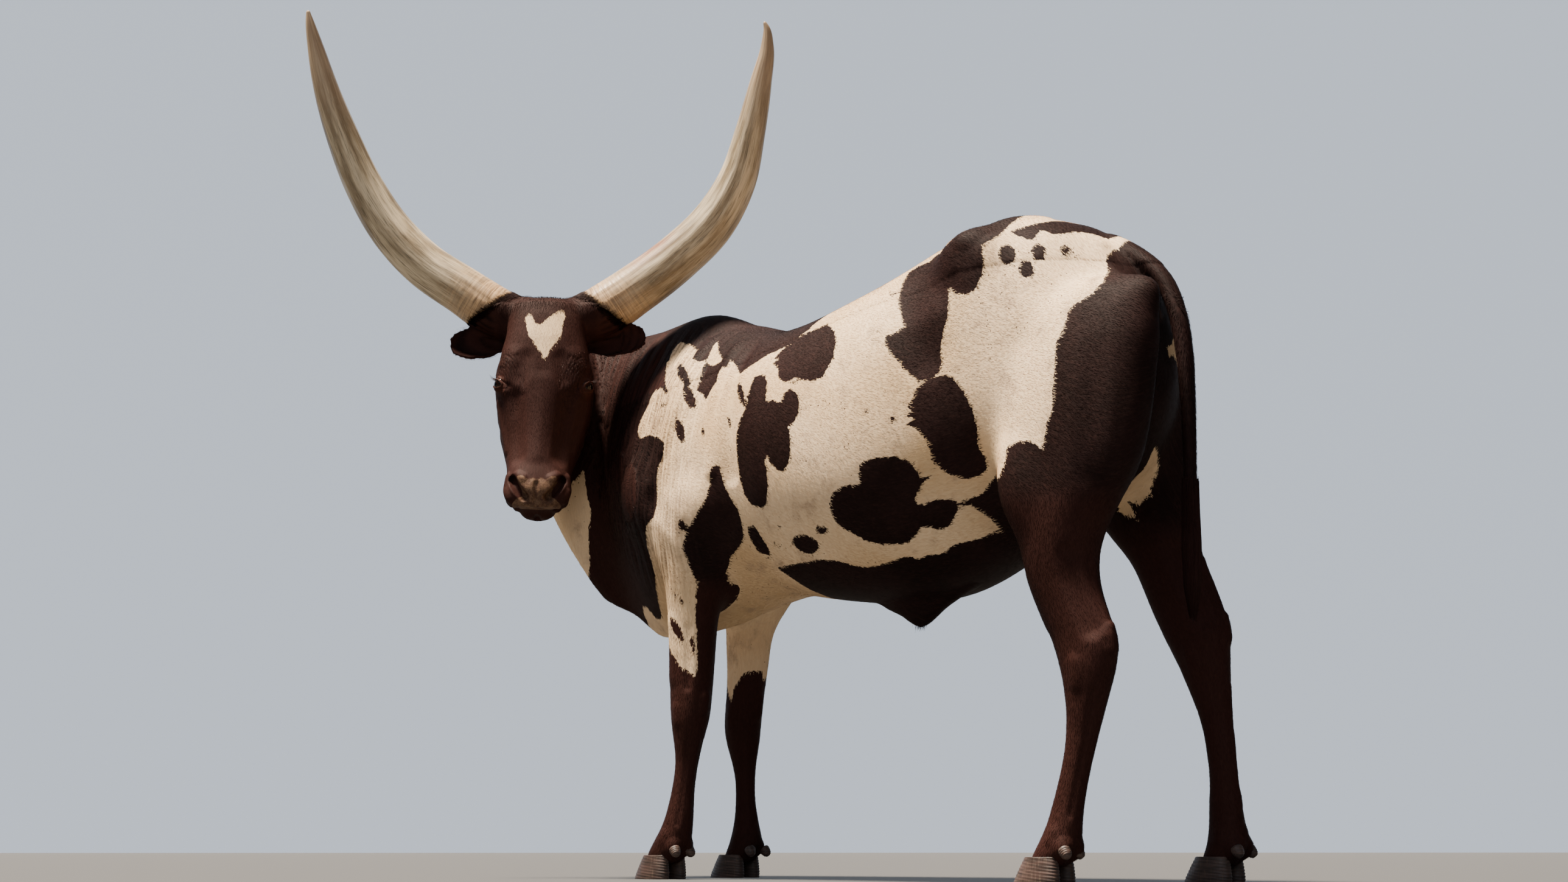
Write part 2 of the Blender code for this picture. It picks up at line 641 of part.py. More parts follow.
def ear(name, root_tip, side, group):
    """A cupped leaf: its half width grows as a smooth step to the middle, stays, and ends
    in a rounded tip; its edges roll forward by a square law across."""
    root, tip = (on_head(*point) for point in root_tip)
    along = (tip - root).normalized()
    length = (tip - root).length
    cup = (HEAD_OUT - along * HEAD_OUT.dot(along)).normalized()
    across = along.cross(cup) * side
    u_count, v_count = 8, 7
    points, faces = [], []
    for i in range(u_count):
        u = i / (u_count - 1)
        grown = min(1.0, u / EAR_FULL)
        half = 0.5 * EAR_WIDTH * (EAR_ROOT + (1.0 - EAR_ROOT) * grown * grown * (3.0 - 2.0 * grown))
        past = max(0.0, (u - EAR_ROUND) / (1.0 - EAR_ROUND))
        half *= EAR_TIP + (1.0 - EAR_TIP) * (1.0 - past ** 2.4) ** 0.5
        for j in range(v_count):
            v = 2.0 * j / (v_count - 1) - 1.0
            lift = EAR_CUP * (v * v - 0.55) * (1.0 - 0.55 * u)
            points.append(root + along * (length * u) + across * (half * v) + cup * lift)
    for i in range(u_count - 1):
        for j in range(v_count - 1):
            base = i * v_count + j
            faces.append((base, base + 1, base + v_count + 1, base + v_count))
    made = mesh_object(name, points, faces, group)
    shell = made.modifiers.new("shell", "SOLIDIFY")
    shell.thickness = EAR_SHELL
    shell.offset = 0.0
    return settled(made)


def ball(name, middle, radius, group):
    """A sphere of its own mesh."""
    bpy.ops.mesh.primitive_uv_sphere_add(segments=14, ring_count=8, radius=radius)
    made = bpy.context.object
    made.name = name
    made.data.transform(Matrix.Translation(middle))
    move_to(made, group)
    return made


def claw(name, fetlock, side, group):
    """Half of a hoof: level D-shaped slices, pointed ahead, that shrink and slide back
    from the flat sole up to the hair line."""
    x, y = fetlock
    rings = []
    for rise in (0.0, 0.25, 0.65, 1.0):
        height = CLAW_HEIGHT * rise
        shrink = 1.0 - 0.24 * rise ** 1.4
        back = 0.5 * CLAW_HEIGHT * rise
        half_length = 0.5 * (CLAW_LENGTH * shrink - 0.35 * back)
        turn = np.linspace(0.0, 2.0 * math.pi, 14, endpoint=False)
        along = -np.cos(turn)
        point = np.where(along < 0.0, 1.0 - 0.45 * np.abs(along) ** 2.2, 1.0)
        across = np.sign(np.sin(turn)) * np.abs(np.sin(turn)) ** 0.75 * point
        outward = across * side > 0.0
        across = across * np.where(outward, 1.0, 0.72) * CLAW_WIDTH * 0.56 * shrink
        along = along * half_length + 0.5 * back
        ring = np.stack([across, along, np.full(len(turn), height)], axis=1)
        rings.append(ring)
    made = loft(name, rings, group)
    turned = Matrix.Rotation(-side * CLAW_SPLAY, 4, "Z")
    place = Matrix.Translation((x + side * (CLAW_WIDTH * 0.40 + 0.004), y, 0.0))
    made.data.transform(place @ turned)
    return made


def dewclaw(name, place, side, group):
    """A blunt horny knob behind the fetlock that points down and back."""
    bpy.ops.mesh.primitive_cone_add(vertices=8, radius1=DEWCLAW_RADIUS * DEWCLAW_TAPER,
                                    radius2=DEWCLAW_RADIUS, depth=DEWCLAW_LENGTH)
    made = bpy.context.object
    made.name = name
    tilt = Matrix.Rotation(DEWCLAW_TILT, 4, "X") @ Matrix.Rotation(-DEWCLAW_TURN * side, 4, "Y")
    made.data.transform(Matrix.Translation(place) @ tilt)
    move_to(made, group)
    rounded = made.modifiers.new("round", "BEVEL")
    rounded.width = DEWCLAW_ROUND
    rounded.segments = 1
    return settled(made)


# Where each hoof and its dewclaws sit: middle of the sole on the ground plan, the point
# between the dewclaws, how far out the outer and the inner one stand, and their height.
FEET = {
    "fore_left": ((0.145, -0.522), (0.145, -0.434), (0.030, 0.020), 0.064),
    "fore_right": ((-0.145, -0.545), (-0.145, -0.456), (0.026, 0.030), 0.064),
    "hind_left": ((0.180, 0.600), (0.180, 0.680), (0.030, 0.018), 0.064),
    "hind_right": ((-0.160, 0.797), (-0.160, 0.878), (0.026, 0.030), 0.066),
}


def build():
    """Model the whole animal, one object for each of its named parts."""
    clear_scene()
    animal = collection("ankole_watusi_steer")
    guides = collection("guides")

    brown = material("short_brown_coat", COAT_BROWN, 0.55)
    cream = material("short_cream_coat", COAT_CREAM, 0.70)
    keratin = material("horn_keratin", HORN_COLOUR, 0.45)
    hoof = material("hoof_horn", CLAW_COLOUR, 0.55)
    wet = material("eyeball", EYE_COLOUR, 0.08)

    body = melted_body(guides)
    around = copy_of(body, "body_clearance", guides)
    swollen = around.modifiers.new("clearance", "DISPLACE")
    swollen.strength = GAP
    swollen.mid_level = 0.0
    settled(around)
    around.hide_render = True
    around.display_type = "WIRE"

    exact = body_regions(0.0, guides)
    grown = body_regions(GAP, guides)
    nodes = body_nodes(body, exact, grown, animal)
    for name, node in nodes.items():
        node.data.materials.clear()
        node.data.materials.append(cream if name == "trunk" else brown)

    pieces = {}
    for side_name, side, run, leaf in (("left", 1.0, HORN_LEFT, EAR_LEFT),
                                       ("right", -1.0, HORN_RIGHT, EAR_RIGHT)):
        pieces["horn_" + side_name] = (horn("horn_" + side_name, side, run, animal), keratin)
        pieces["ear_" + side_name] = (ear("ear_" + side_name, leaf, side, animal), brown)
        left, down, out = EYE_PLACE
        middle = on_head(left * side, down, out)
        socket = ball("eye_socket_" + side_name, middle, EYE_RADIUS + GAP, guides)
        socket.hide_render = True
        socket.display_type = "WIRE"
        cut_away(nodes["head"], socket)
        eye = ball("eye_" + side_name, middle, EYE_RADIUS, animal)
        eye.data.materials.append(wet)

    for leg, (sole, knob, (outer, inner), high) in FEET.items():
        for claw_name, side, apart in (("inner", -1.0, inner), ("outer", 1.0, outer)):
            turned = side if leg.endswith("left") else -side
            name = claw_name + "_claw_" + leg
            pieces[name] = (claw(name, sole, turned, animal), hoof)
            name = claw_name + "_dewclaw_" + leg
            place = (knob[0] + turned * apart, knob[1], high)
            pieces[name] = (dewclaw(name, place, turned, animal), hoof)

    for name, (piece, look) in pieces.items():
        piece.data.materials.clear()
        piece.data.materials.append(look)
        cut_away(piece, around)
    for side_name in ("left", "right"):
        horned = pieces["horn_" + side_name][0]
        horned_clearance = copy_of(horned, "horn_clearance_" + side_name, guides)
        horned_clearance.data.materials.clear()
        swollen = horned_clearance.modifiers.new("clearance", "DISPLACE")
        swollen.strength = GAP
        swollen.mid_level = 0.0
        settled(horned_clearance)
        horned_clearance.hide_render = True
        horned_clearance.display_type = "WIRE"
        cut_away(pieces["ear_" + side_name][0], horned_clearance)

    tail = tube("tail_mass", TAIL_RUN, guides, sides=9, step=0.05)
    tail.hide_render = True
    tail.display_type = "WIRE"
    upper, lower = TAIL_CUTS
    for name, low, high in (("tail_base", upper, EDGE), ("tail_middle", lower, upper - GAP),
                            ("tail_switch", 0.0, lower - GAP)):
        length = copy_of(tail, name, animal)
        length.data.materials.append(brown)
        keep_inside(length, region(name + "_region", (-0.2, 0.4, low), (0.2, 1.2, high), guides))
        cut_away(length, around)

    for thing in list(animal.objects):
        settled(thing)
        thing.data.shade_smooth()
        thing.data.transform(Matrix.Translation(-MIDDLE))


build()
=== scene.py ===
"""Looks of the life-size ankole watusi steer: skin, short coat, horns, eyes and hooves.

The part's solids are the frame. One skin replaces all the solids of flesh: it is worked
out from the same stations as they are, in metres, with x = 0 on the middle line of the
back, the head turned back past the left flank (+X) and the floor at z = 0. Each finished
mesh is then moved by the same step as the solids, onto the middle of the whole animal.
"""
import math

import bmesh
import bpy
import numpy as np
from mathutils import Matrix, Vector


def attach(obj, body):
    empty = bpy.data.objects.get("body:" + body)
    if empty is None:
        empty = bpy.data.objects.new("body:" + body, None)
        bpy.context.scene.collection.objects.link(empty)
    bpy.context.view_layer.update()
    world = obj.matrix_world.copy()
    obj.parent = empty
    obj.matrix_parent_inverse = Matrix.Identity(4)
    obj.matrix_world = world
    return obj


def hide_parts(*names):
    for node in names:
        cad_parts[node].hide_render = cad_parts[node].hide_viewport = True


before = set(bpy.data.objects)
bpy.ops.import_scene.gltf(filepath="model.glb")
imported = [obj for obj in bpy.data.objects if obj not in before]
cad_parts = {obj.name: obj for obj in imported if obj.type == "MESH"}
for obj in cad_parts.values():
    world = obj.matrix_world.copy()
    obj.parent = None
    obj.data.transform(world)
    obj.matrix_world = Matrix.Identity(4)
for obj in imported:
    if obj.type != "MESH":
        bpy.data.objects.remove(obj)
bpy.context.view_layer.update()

# Back, barrel and neck, from the tail head to the head: station point on the ground
# plan, height of the widest level, half-width, top, bottom, then how square the upper
# and the lower half of the section are (2 is an ellipse).
SPINE = [
    # x, y, widest, half-width, top, bottom, upper, lower
    (0.000, 0.828, 1.100, 0.045, 1.185, 1.020, 2.0, 2.0),
    (0.000, 0.805, 1.100, 0.100, 1.242, 0.960, 2.0, 2.0),
    (0.000, 0.765, 1.100, 0.155, 1.315, 0.880, 2.1, 2.0),
    (0.000, 0.690, 1.100, 0.202, 1.392, 0.820, 2.4, 2.0),
    (0.000, 0.600, 1.090, 0.235, 1.436, 0.770, 2.9, 2.0),
    (0.000, 0.500, 1.070, 0.252, 1.446, 0.725, 3.4, 2.1),
    (0.000, 0.400, 1.030, 0.278, 1.433, 0.680, 2.9, 2.2),
    (0.000, 0.250, 0.980, 0.318, 1.396, 0.630, 2.3, 2.2),
    (0.000, 0.080, 0.970, 0.325, 1.350, 0.625, 2.2, 2.2),
    (0.000, -0.080, 0.980, 0.312, 1.320, 0.645, 2.1, 2.2),
    (0.000, -0.200, 0.980, 0.290, 1.320, 0.665, 2.0, 2.2),
    (0.000, -0.330, 0.980, 0.262, 1.358, 0.640, 1.8, 2.1),
    (0.000, -0.470, 0.960, 0.240, 1.392, 0.600, 1.6, 1.9),
    (0.000, -0.600, 0.970, 0.205, 1.400, 0.592, 1.7, 1.6),
    (0.000, -0.700, 1.010, 0.165, 1.398, 0.625, 1.9, 1.4),
    (0.006, -0.780, 1.060, 0.135, 1.395, 0.660, 2.0, 1.3),
    (0.045, -0.855, 1.110, 0.115, 1.398, 0.702, 2.0, 1.2),
    (0.110, -0.885, 1.150, 0.105, 1.400, 0.808, 2.0, 1.2),
    (0.180, -0.870, 1.180, 0.100, 1.400, 0.895, 2.0, 1.3),
    (0.245, -0.830, 1.200, 0.098, 1.400, 0.960, 2.0, 1.5),
    (0.305, -0.772, 1.220, 0.096, 1.395, 1.050, 2.1, 2.0),
    (0.345, -0.732, 1.240, 0.085, 1.375, 1.100, 2.1, 2.0),
]

# Head, in its own frame: a distance down the face from the poll, then the widest level
# measured out of the face, half-width, forehead side, jaw side and the two squarenesses.
POLL = Vector((0.364, -0.721, 1.426))
HEAD_TURN = math.radians(134)         # how far it looks round from straight ahead
FACE_TILT = math.radians(11)          # muzzle nearer to what it looks at than the poll
HEAD_ROLL = math.radians(1.0)
HEAD = [
    # down, widest, half-width, front, back, upper, lower
    (-0.024, -0.075, 0.060, -0.035, -0.120, 2.2, 2.0),
    (-0.006, -0.075, 0.092, -0.012, -0.145, 2.4, 2.0),
    (0.030, -0.075, 0.100, 0.004, -0.165, 2.4, 2.0),
    (0.090, -0.075, 0.103, 0.012, -0.190, 2.6, 2.0),
    (0.150, -0.075, 0.115, 0.012, -0.215, 2.6, 2.0),
    (0.205, -0.078, 0.125, 0.010, -0.240, 2.4, 2.0),
    (0.270, -0.100, 0.119, 0.006, -0.250, 2.0, 2.0),
    (0.330, -0.108, 0.110, 0.002, -0.225, 1.8, 2.0),
    (0.390, -0.095, 0.094, 0.000, -0.180, 1.8, 2.0),
    (0.440, -0.070, 0.082, 0.001, -0.150, 2.0, 2.0),
    (0.480, -0.055, 0.080, 0.006, -0.138, 2.4, 2.0),
    (0.515, -0.055, 0.081, 0.006, -0.130, 2.5, 2.2),
    (0.540, -0.060, 0.076, -0.006, -0.122, 2.4, 2.2),
    (0.555, -0.066, 0.060, -0.022, -0.114, 2.3, 2.0),
    (0.567, -0.074, 0.042, -0.046, -0.104, 2.0, 2.0),
]

# Legs, from the floor up: height, middle across, middle along, half-size along and
# across. The upper rows are the thigh and the shoulder, sunk in the barrel.
HIND_LEFT = [
    (0.030, 0.180, 0.612, 0.050, 0.050),
    (0.078, 0.180, 0.642, 0.052, 0.046),
    (0.120, 0.180, 0.657, 0.045, 0.037),
    (0.162, 0.180, 0.668, 0.042, 0.033),
    (0.220, 0.180, 0.685, 0.040, 0.031),
    (0.290, 0.180, 0.704, 0.042, 0.033),
    (0.374, 0.180, 0.719, 0.054, 0.041),
    (0.430, 0.180, 0.724, 0.067, 0.048),
    (0.480, 0.180, 0.720, 0.078, 0.051),
    (0.540, 0.182, 0.698, 0.081, 0.056),
    (0.620, 0.184, 0.672, 0.084, 0.066),
    (0.683, 0.184, 0.667, 0.092, 0.076),
    (0.760, 0.178, 0.672, 0.125, 0.088),
    (0.840, 0.168, 0.682, 0.163, 0.098),
    (0.940, 0.160, 0.686, 0.186, 0.105),
    (1.040, 0.152, 0.690, 0.195, 0.105),
    (1.140, 0.142, 0.698, 0.195, 0.095),
    (1.220, 0.128, 0.715, 0.150, 0.075),
    (1.280, 0.095, 0.690, 0.090, 0.045),
]
HIND_RIGHT = [
    (0.030, -0.160, 0.808, 0.048, 0.050),
    (0.077, -0.160, 0.838, 0.053, 0.046),
    (0.121, -0.160, 0.836, 0.046, 0.037),
    (0.165, -0.160, 0.834, 0.043, 0.033),
    (0.209, -0.160, 0.832, 0.039, 0.031),
    (0.270, -0.160, 0.828, 0.038, 0.031),
    (0.342, -0.160, 0.820, 0.043, 0.035),
    (0.410, -0.160, 0.806, 0.055, 0.041),
    (0.479, -0.160, 0.792, 0.070, 0.050),
    (0.525, -0.160, 0.780, 0.083, 0.053),
    (0.572, -0.162, 0.761, 0.086, 0.058),
    (0.620, -0.164, 0.742, 0.086, 0.064),
    (0.680, -0.166, 0.716, 0.087, 0.070),
    (0.760, -0.164, 0.676, 0.108, 0.084),
    (0.840, -0.160, 0.652, 0.132, 0.095),
    (0.940, -0.152, 0.642, 0.146, 0.102),
    (1.040, -0.146, 0.642, 0.152, 0.103),
    (1.140, -0.136, 0.648, 0.152, 0.094),
    (1.220, -0.118, 0.665, 0.125, 0.074),
    (1.280, -0.090, 0.640, 0.080, 0.045),
]
FORE_LEFT = [
    (0.030, 0.145, -0.510, 0.050, 0.052),
    (0.077, 0.145, -0.482, 0.056, 0.048),
    (0.127, 0.145, -0.459, 0.046, 0.039),
    (0.177, 0.145, -0.448, 0.039, 0.034),
    (0.227, 0.145, -0.439, 0.035, 0.032),
    (0.277, 0.145, -0.430, 0.036, 0.033),
    (0.327, 0.145, -0.426, 0.044, 0.040),
    (0.377, 0.145, -0.421, 0.055, 0.048),
    (0.428, 0.145, -0.419, 0.060, 0.049),
    (0.500, 0.146, -0.415, 0.064, 0.051),
    (0.580, 0.148, -0.411, 0.066, 0.056),
    (0.640, 0.150, -0.408, 0.073, 0.062),
    (0.700, 0.156, -0.390, 0.098, 0.070),
    (0.770, 0.164, -0.372, 0.140, 0.078),
    (0.860, 0.168, -0.385, 0.165, 0.082),
    (0.980, 0.160, -0.410, 0.160, 0.080),
    (1.100, 0.135, -0.430, 0.140, 0.075),
    (1.230, 0.090, -0.440, 0.110, 0.060),
]
FORE_RIGHT = [
    (0.030, -0.145, -0.532, 0.046, 0.050),
    (0.077, -0.145, -0.503, 0.050, 0.046),
    (0.129, -0.145, -0.500, 0.040, 0.036),
    (0.182, -0.145, -0.503, 0.033, 0.031),
    (0.234, -0.145, -0.505, 0.032, 0.030),
    (0.288, -0.145, -0.509, 0.040, 0.036),
    (0.341, -0.145, -0.514, 0.052, 0.045),
    (0.394, -0.145, -0.513, 0.056, 0.047),
    (0.448, -0.145, -0.506, 0.057, 0.047),
    (0.520, -0.145, -0.498, 0.062, 0.050),
    (0.609, -0.147, -0.492, 0.071, 0.058),
    (0.680, -0.152, -0.460, 0.092, 0.068),
    (0.760, -0.162, -0.410, 0.130, 0.078),
    (0.860, -0.168, -0.400, 0.160, 0.082),
    (0.980, -0.160, -0.415, 0.160, 0.080),
    (1.100, -0.135, -0.430, 0.140, 0.075),
    (1.230, -0.090, -0.440, 0.110, 0.060),
]

# The sheath of the steer, a small pouch under the belly, in the columns of a leg.
SHEATH = [
    (0.558, 0.000, 0.165, 0.014, 0.012),
    (0.570, 0.000, 0.165, 0.032, 0.022),
    (0.590, 0.000, 0.165, 0.056, 0.032),
    (0.615, 0.000, 0.162, 0.090, 0.042),
    (0.645, 0.000, 0.150, 0.150, 0.055),
    (0.680, 0.000, 0.140, 0.180, 0.060),
]

# Bones and muscles that show, each a soft stroke: its middle, how far it reaches along
# each axis, and how far it moves the skin at its middle. Those of a pair are given for
# the left side.
PAIRED_STROKES = {
    "hook": ((0.228, 0.470, 1.345), (0.095, 0.120, 0.100), (0.020, -0.008, 0.026)),
    "loin_hollow": ((0.215, 0.345, 1.280), (0.120, 0.125, 0.120), (-0.020, 0.000, -0.008)),
    "rump_hollow": ((0.150, 0.725, 1.310), (0.090, 0.120, 0.095), (-0.010, 0.000, -0.012)),
    "stifle": ((0.255, 0.590, 0.810), (0.080, 0.100, 0.140), (0.020, -0.014, 0.000)),
    "girth": ((0.280, -0.155, 0.930), (0.080, 0.090, 0.260), (-0.016, 0.000, 0.000)),
    "shoulder_point": ((0.215, -0.550, 0.910), (0.110, 0.100, 0.150), (0.014, -0.022, 0.000)),
    "upper_arm": ((0.250, -0.330, 0.850), (0.080, 0.140, 0.130), (0.022, 0.000, 0.000)),
    "shoulder_blade": ((0.185, -0.425, 1.160), (0.110, 0.120, 0.200), (0.018, 0.000, 0.000)),
    "elbow": ((0.225, -0.215, 0.755), (0.070, 0.070, 0.080), (0.006, 0.018, 0.000)),
}
SINGLE_STROKES = {
    "pin_left": ((0.118, 0.855, 1.215), (0.070, 0.080, 0.080), (0.006, 0.022, 0.012)),
    "pin_right": ((-0.108, 0.790, 1.215), (0.070, 0.080, 0.080), (-0.006, 0.020, 0.012)),
    "hump": ((0.000, -0.470, 1.400), (0.120, 0.200, 0.110), (0.000, 0.000, 0.024)),
    "poll_left": ((0.271, -0.725, 1.408), (0.060, 0.060, 0.060), (0.000, 0.000, 0.020)),
    "poll_right": ((0.357, -0.814, 1.411), (0.060, 0.060, 0.060), (0.000, 0.000, 0.020)),
    "brisket": ((0.000, -0.620, 0.610), (0.100, 0.140, 0.110), (0.000, -0.012, -0.012)),
}

# Horns, each in the plane that both lie in: distance out from the poll, height over it,
# distance behind it, and the radius there. They differ a little, as real ones do.
HORN_TURN = math.radians(131)
HORN_LEAN = math.radians(11.2)        # the tips lean forward of the poll
HORN_MIDDLE = -0.007                  # how far left of the poll the pair is centred
HORN_RIGHT = [
    # out, up, back, radius
    (0.050, -0.060, 0.074, 0.052),
    (0.124, -0.034, 0.076, 0.065),
    (0.220, 0.026, 0.082, 0.063),
    (0.313, 0.088, 0.090, 0.060),
    (0.397, 0.173, 0.096, 0.056),
    (0.468, 0.286, 0.098, 0.050),
    (0.522, 0.410, 0.094, 0.043),
    (0.562, 0.526, 0.086, 0.034),
    (0.592, 0.647, 0.076, 0.021),
    (0.605, 0.710, 0.070, 0.011),
    (0.609, 0.736, 0.068, 0.005),
]
HORN_LEFT = [
    (0.050, -0.060, 0.074, 0.052),
    (0.125, -0.034, 0.076, 0.066),
    (0.226, 0.030, 0.082, 0.065),
    (0.328, 0.108, 0.090, 0.062),
    (0.416, 0.194, 0.096, 0.059),
    (0.479, 0.301, 0.098, 0.051),
    (0.515, 0.430, 0.094, 0.040),
    (0.542, 0.554, 0.086, 0.029),
    (0.559, 0.650, 0.077, 0.017),
    (0.557, 0.692, 0.072, 0.009),
    (0.551, 0.708, 0.070, 0.004),
]

# Ears, in the head's frame: root and tip (to the left, down, out of the face), the width
# at the widest, and how thick the leaf is.
EAR_LEFT = ((0.088, 0.080, -0.110), (0.252, 0.062, -0.075))
EAR_RIGHT = ((-0.088, 0.070, -0.110), (-0.246, 0.106, -0.075))
EAR_WIDTH = 0.094
EAR_CUP = 0.026
EAR_ROOT = 0.50                       # share of the width at the root
EAR_FULL = 0.45                       # share of the length where the ear is widest
EAR_ROUND = 0.60                      # and where its tip starts to round off
EAR_TIP = 0.10
EAR_SHELL = 0.0125                    # thickness of the leaf at its root
EAR_THINNING = 0.0020                 # and how much thinner it is at its tip
EYE_RADIUS = 0.021
EYE_PLACE = (0.102, 0.222, -0.046)    # left eye in the head's frame; the right mirrors it

# Tail, from the back of the croup to the tip of its switch.
TAIL_RUN = [
    # x, y, z, radius across, radius along
    (0.000, 0.640, 1.380, 0.034, 0.026),
    (0.000, 0.715, 1.358, 0.034, 0.026),
    (0.000, 0.775, 1.318, 0.032, 0.025),
    (0.002, 0.826, 1.265, 0.029, 0.024),
    (0.006, 0.856, 1.200, 0.027, 0.023),
    (0.010, 0.874, 1.110, 0.025, 0.022),
    (0.012, 0.880, 1.000, 0.022, 0.020),
    (0.014, 0.880, 0.860, 0.019, 0.018),
    (0.016, 0.879, 0.760, 0.019, 0.018),
    (0.017, 0.878, 0.680, 0.023, 0.020),
    (0.018, 0.877, 0.600, 0.020, 0.017),
    (0.019, 0.876, 0.525, 0.006, 0.006),
]
# Claws: the two halves of each hoof, and the pair of dewclaws behind each fetlock.
CLAW_LENGTH = 0.118
CLAW_WIDTH = 0.048
CLAW_HEIGHT = 0.056
CLAW_SPLAY = math.radians(5)
DEWCLAW_RADIUS = 0.0180
DEWCLAW_LENGTH = 0.028
DEWCLAW_TAPER = 0.62
DEWCLAW_TILT = math.radians(38)
DEWCLAW_TURN = math.radians(14)


# Markings. Outlines in millimetres on a chart of the barrel and neck: along the spine (the
# plain y on the straight back), and 300 times the angle round from the top of the back. Their
# points follow patches picked out in the picture. The left side is given; the right
# side carries the same ones shifted and stretched.
DARK_PATCHES = {
    "rib_tall": [(-82, 301), (-111, 303), (-117, 336), (-112, 375), (-143, 406), (-151, 446),
        (-150, 494), (-143, 551), (-132, 587), (-110, 609), (-70, 614), (-50, 605), (-34, 562),
        (-36, 523), (-40, 485), (-20, 518), (-2, 533), (25, 538), (44, 513), (48, 472), (38, 440),
        (15, 410), (4, 391), (-19, 377), (-39, 382), (-44, 375), (-54, 328)],
    "rib_upper": [(25, 355), (10, 373), (12, 404), (28, 428), (49, 441), (65, 429), (71, 404),
        (61, 376), (45, 361)],
    "back_patch": [(82, 208), (126, 241), (148, 273), (153, 308), (143, 326), (135, 347), (96, 353),
        (40, 332), (16, 345), (-16, 327), (-30, 294), (-32, 274), (-35, 296), (-54, 291),
        (-61, 257), (-46, 239), (-17, 221), (16, 210), (57, 210)],
    "girth_strip": [(-233, 503), (-225, 501), (-210, 505), (-202, 552), (-183, 594), (-167, 618),
        (-163, 650), (-170, 684), (-203, 709), (-241, 730), (-290, 779), (-318, 772), (-348, 739),
        (-355, 715), (-360, 677), (-334, 645), (-301, 620), (-259, 582), (-248, 557)],
    "low_slant": [(-149, 661), (-124, 654), (-111, 666), (-102, 691), (-99, 717), (-122, 741),
        (-138, 735), (-144, 709), (-151, 685)],
    "flank": [(239, 547), (280, 552), (321, 569), (347, 594), (357, 618), (367, 646), (353, 657),
        (337, 677), (350, 692), (375, 691), (410, 715), (421, 737), (403, 751), (382, 761),
        (362, 753), (336, 724), (317, 734), (291, 740), (245, 724), (205, 705), (170, 677),
        (142, 654), (137, 621), (150, 595), (189, 582), (231, 591), (229, 570)],
    "belly": [(-114, 765), (-51, 749), (4, 739), (46, 731), (97, 737), (130, 752), (157, 763),
        (210, 762), (259, 763), (278, 766), (286, 784), (312, 786), (344, 804), (365, 797),
        (403, 812), (445, 831), (468, 854), (596, 783), (632, 786), (640, 975), (-80, 975),
        (-72, 880), (-92, 800)],
    "hook": [(471, 177), (447, 175), (423, 182), (361, 141), (343, 148), (302, 136), (280, 141),
        (282, 172), (292, 211), (314, 256), (329, 283), (312, 295), (291, 296), (291, 314),
        (308, 338), (328, 361), (350, 392), (375, 426), (406, 435), (427, 417), (424, 374),
        (431, 341), (443, 310), (441, 274), (435, 247), (461, 276), (487, 285), (508, 278),
        (519, 254), (524, 234), (517, 211), (536, 192), (541, 179), (548, 120), (545, -40),
        (440, -40), (330, -40), (300, 60)],
    "thurl": [(436, 442), (395, 431), (371, 445), (359, 475), (365, 528), (389, 573), (395, 615),
        (411, 652), (441, 690), (476, 711), (501, 709), (504, 683), (493, 655), (499, 611),
        (494, 566), (479, 514), (458, 466)],
    "rump_top": [(557, 163), (578, 145), (598, 123), (616, 80), (640, -40), (735, -40), (720, 20),
        (690, 60), (662, 124), (644, 145), (619, 143), (615, 161), (611, 180), (590, 177)],
    "quarter": [(752, -40), (744, 28), (729, 60), (738, 119), (755, 170), (785, 283), (776, 323),
        (753, 351), (727, 372), (724, 409), (719, 443), (707, 471), (708, 529), (707, 583),
        (704, 624), (689, 650), (683, 685), (665, 675), (648, 665), (616, 661), (590, 666),
        (589, 684), (574, 701), (494, 737), (473, 747), (423, 730), (449, 760), (466, 799),
        (473, 846), (478, 880), (490, 975), (1200, 975), (1200, -40)],
    "saddle": [(-521, 70), (-479, 80), (-423, 113), (-406, 159), (-372, 171), (-351, 169),
        (-367, 129), (-371, 99), (-327, 151), (-272, 207), (-259, 231), (-244, 224), (-253, 200),
        (-222, 225), (-186, 264), (-161, 262), (-133, 248), (-97, 238), (-49, 238), (-19, 225),
        (10, 198), (24, 150), (28, 80), (30, -40), (-560, -40), (-560, 70)],
    "wither_d": [(-354, 176), (-345, 221), (-342, 266), (-314, 285), (-289, 312), (-280, 287),
        (-260, 272), (-272, 239), (-258, 219), (-277, 194), (-316, 201)],
    "neck": [(-510, -40), (-521, 70), (-532, 87), (-523, 117), (-542, 141), (-536, 174),
        (-543, 209), (-563, 248), (-572, 276), (-552, 324), (-515, 322), (-463, 349), (-423, 387),
        (-434, 424), (-451, 451), (-453, 501), (-456, 562), (-467, 593), (-504, 618), (-526, 683),
        (-537, 767), (-579, 854), (-604, 898), (-606, 975), (-1700, 975), (-1700, -40)],
}
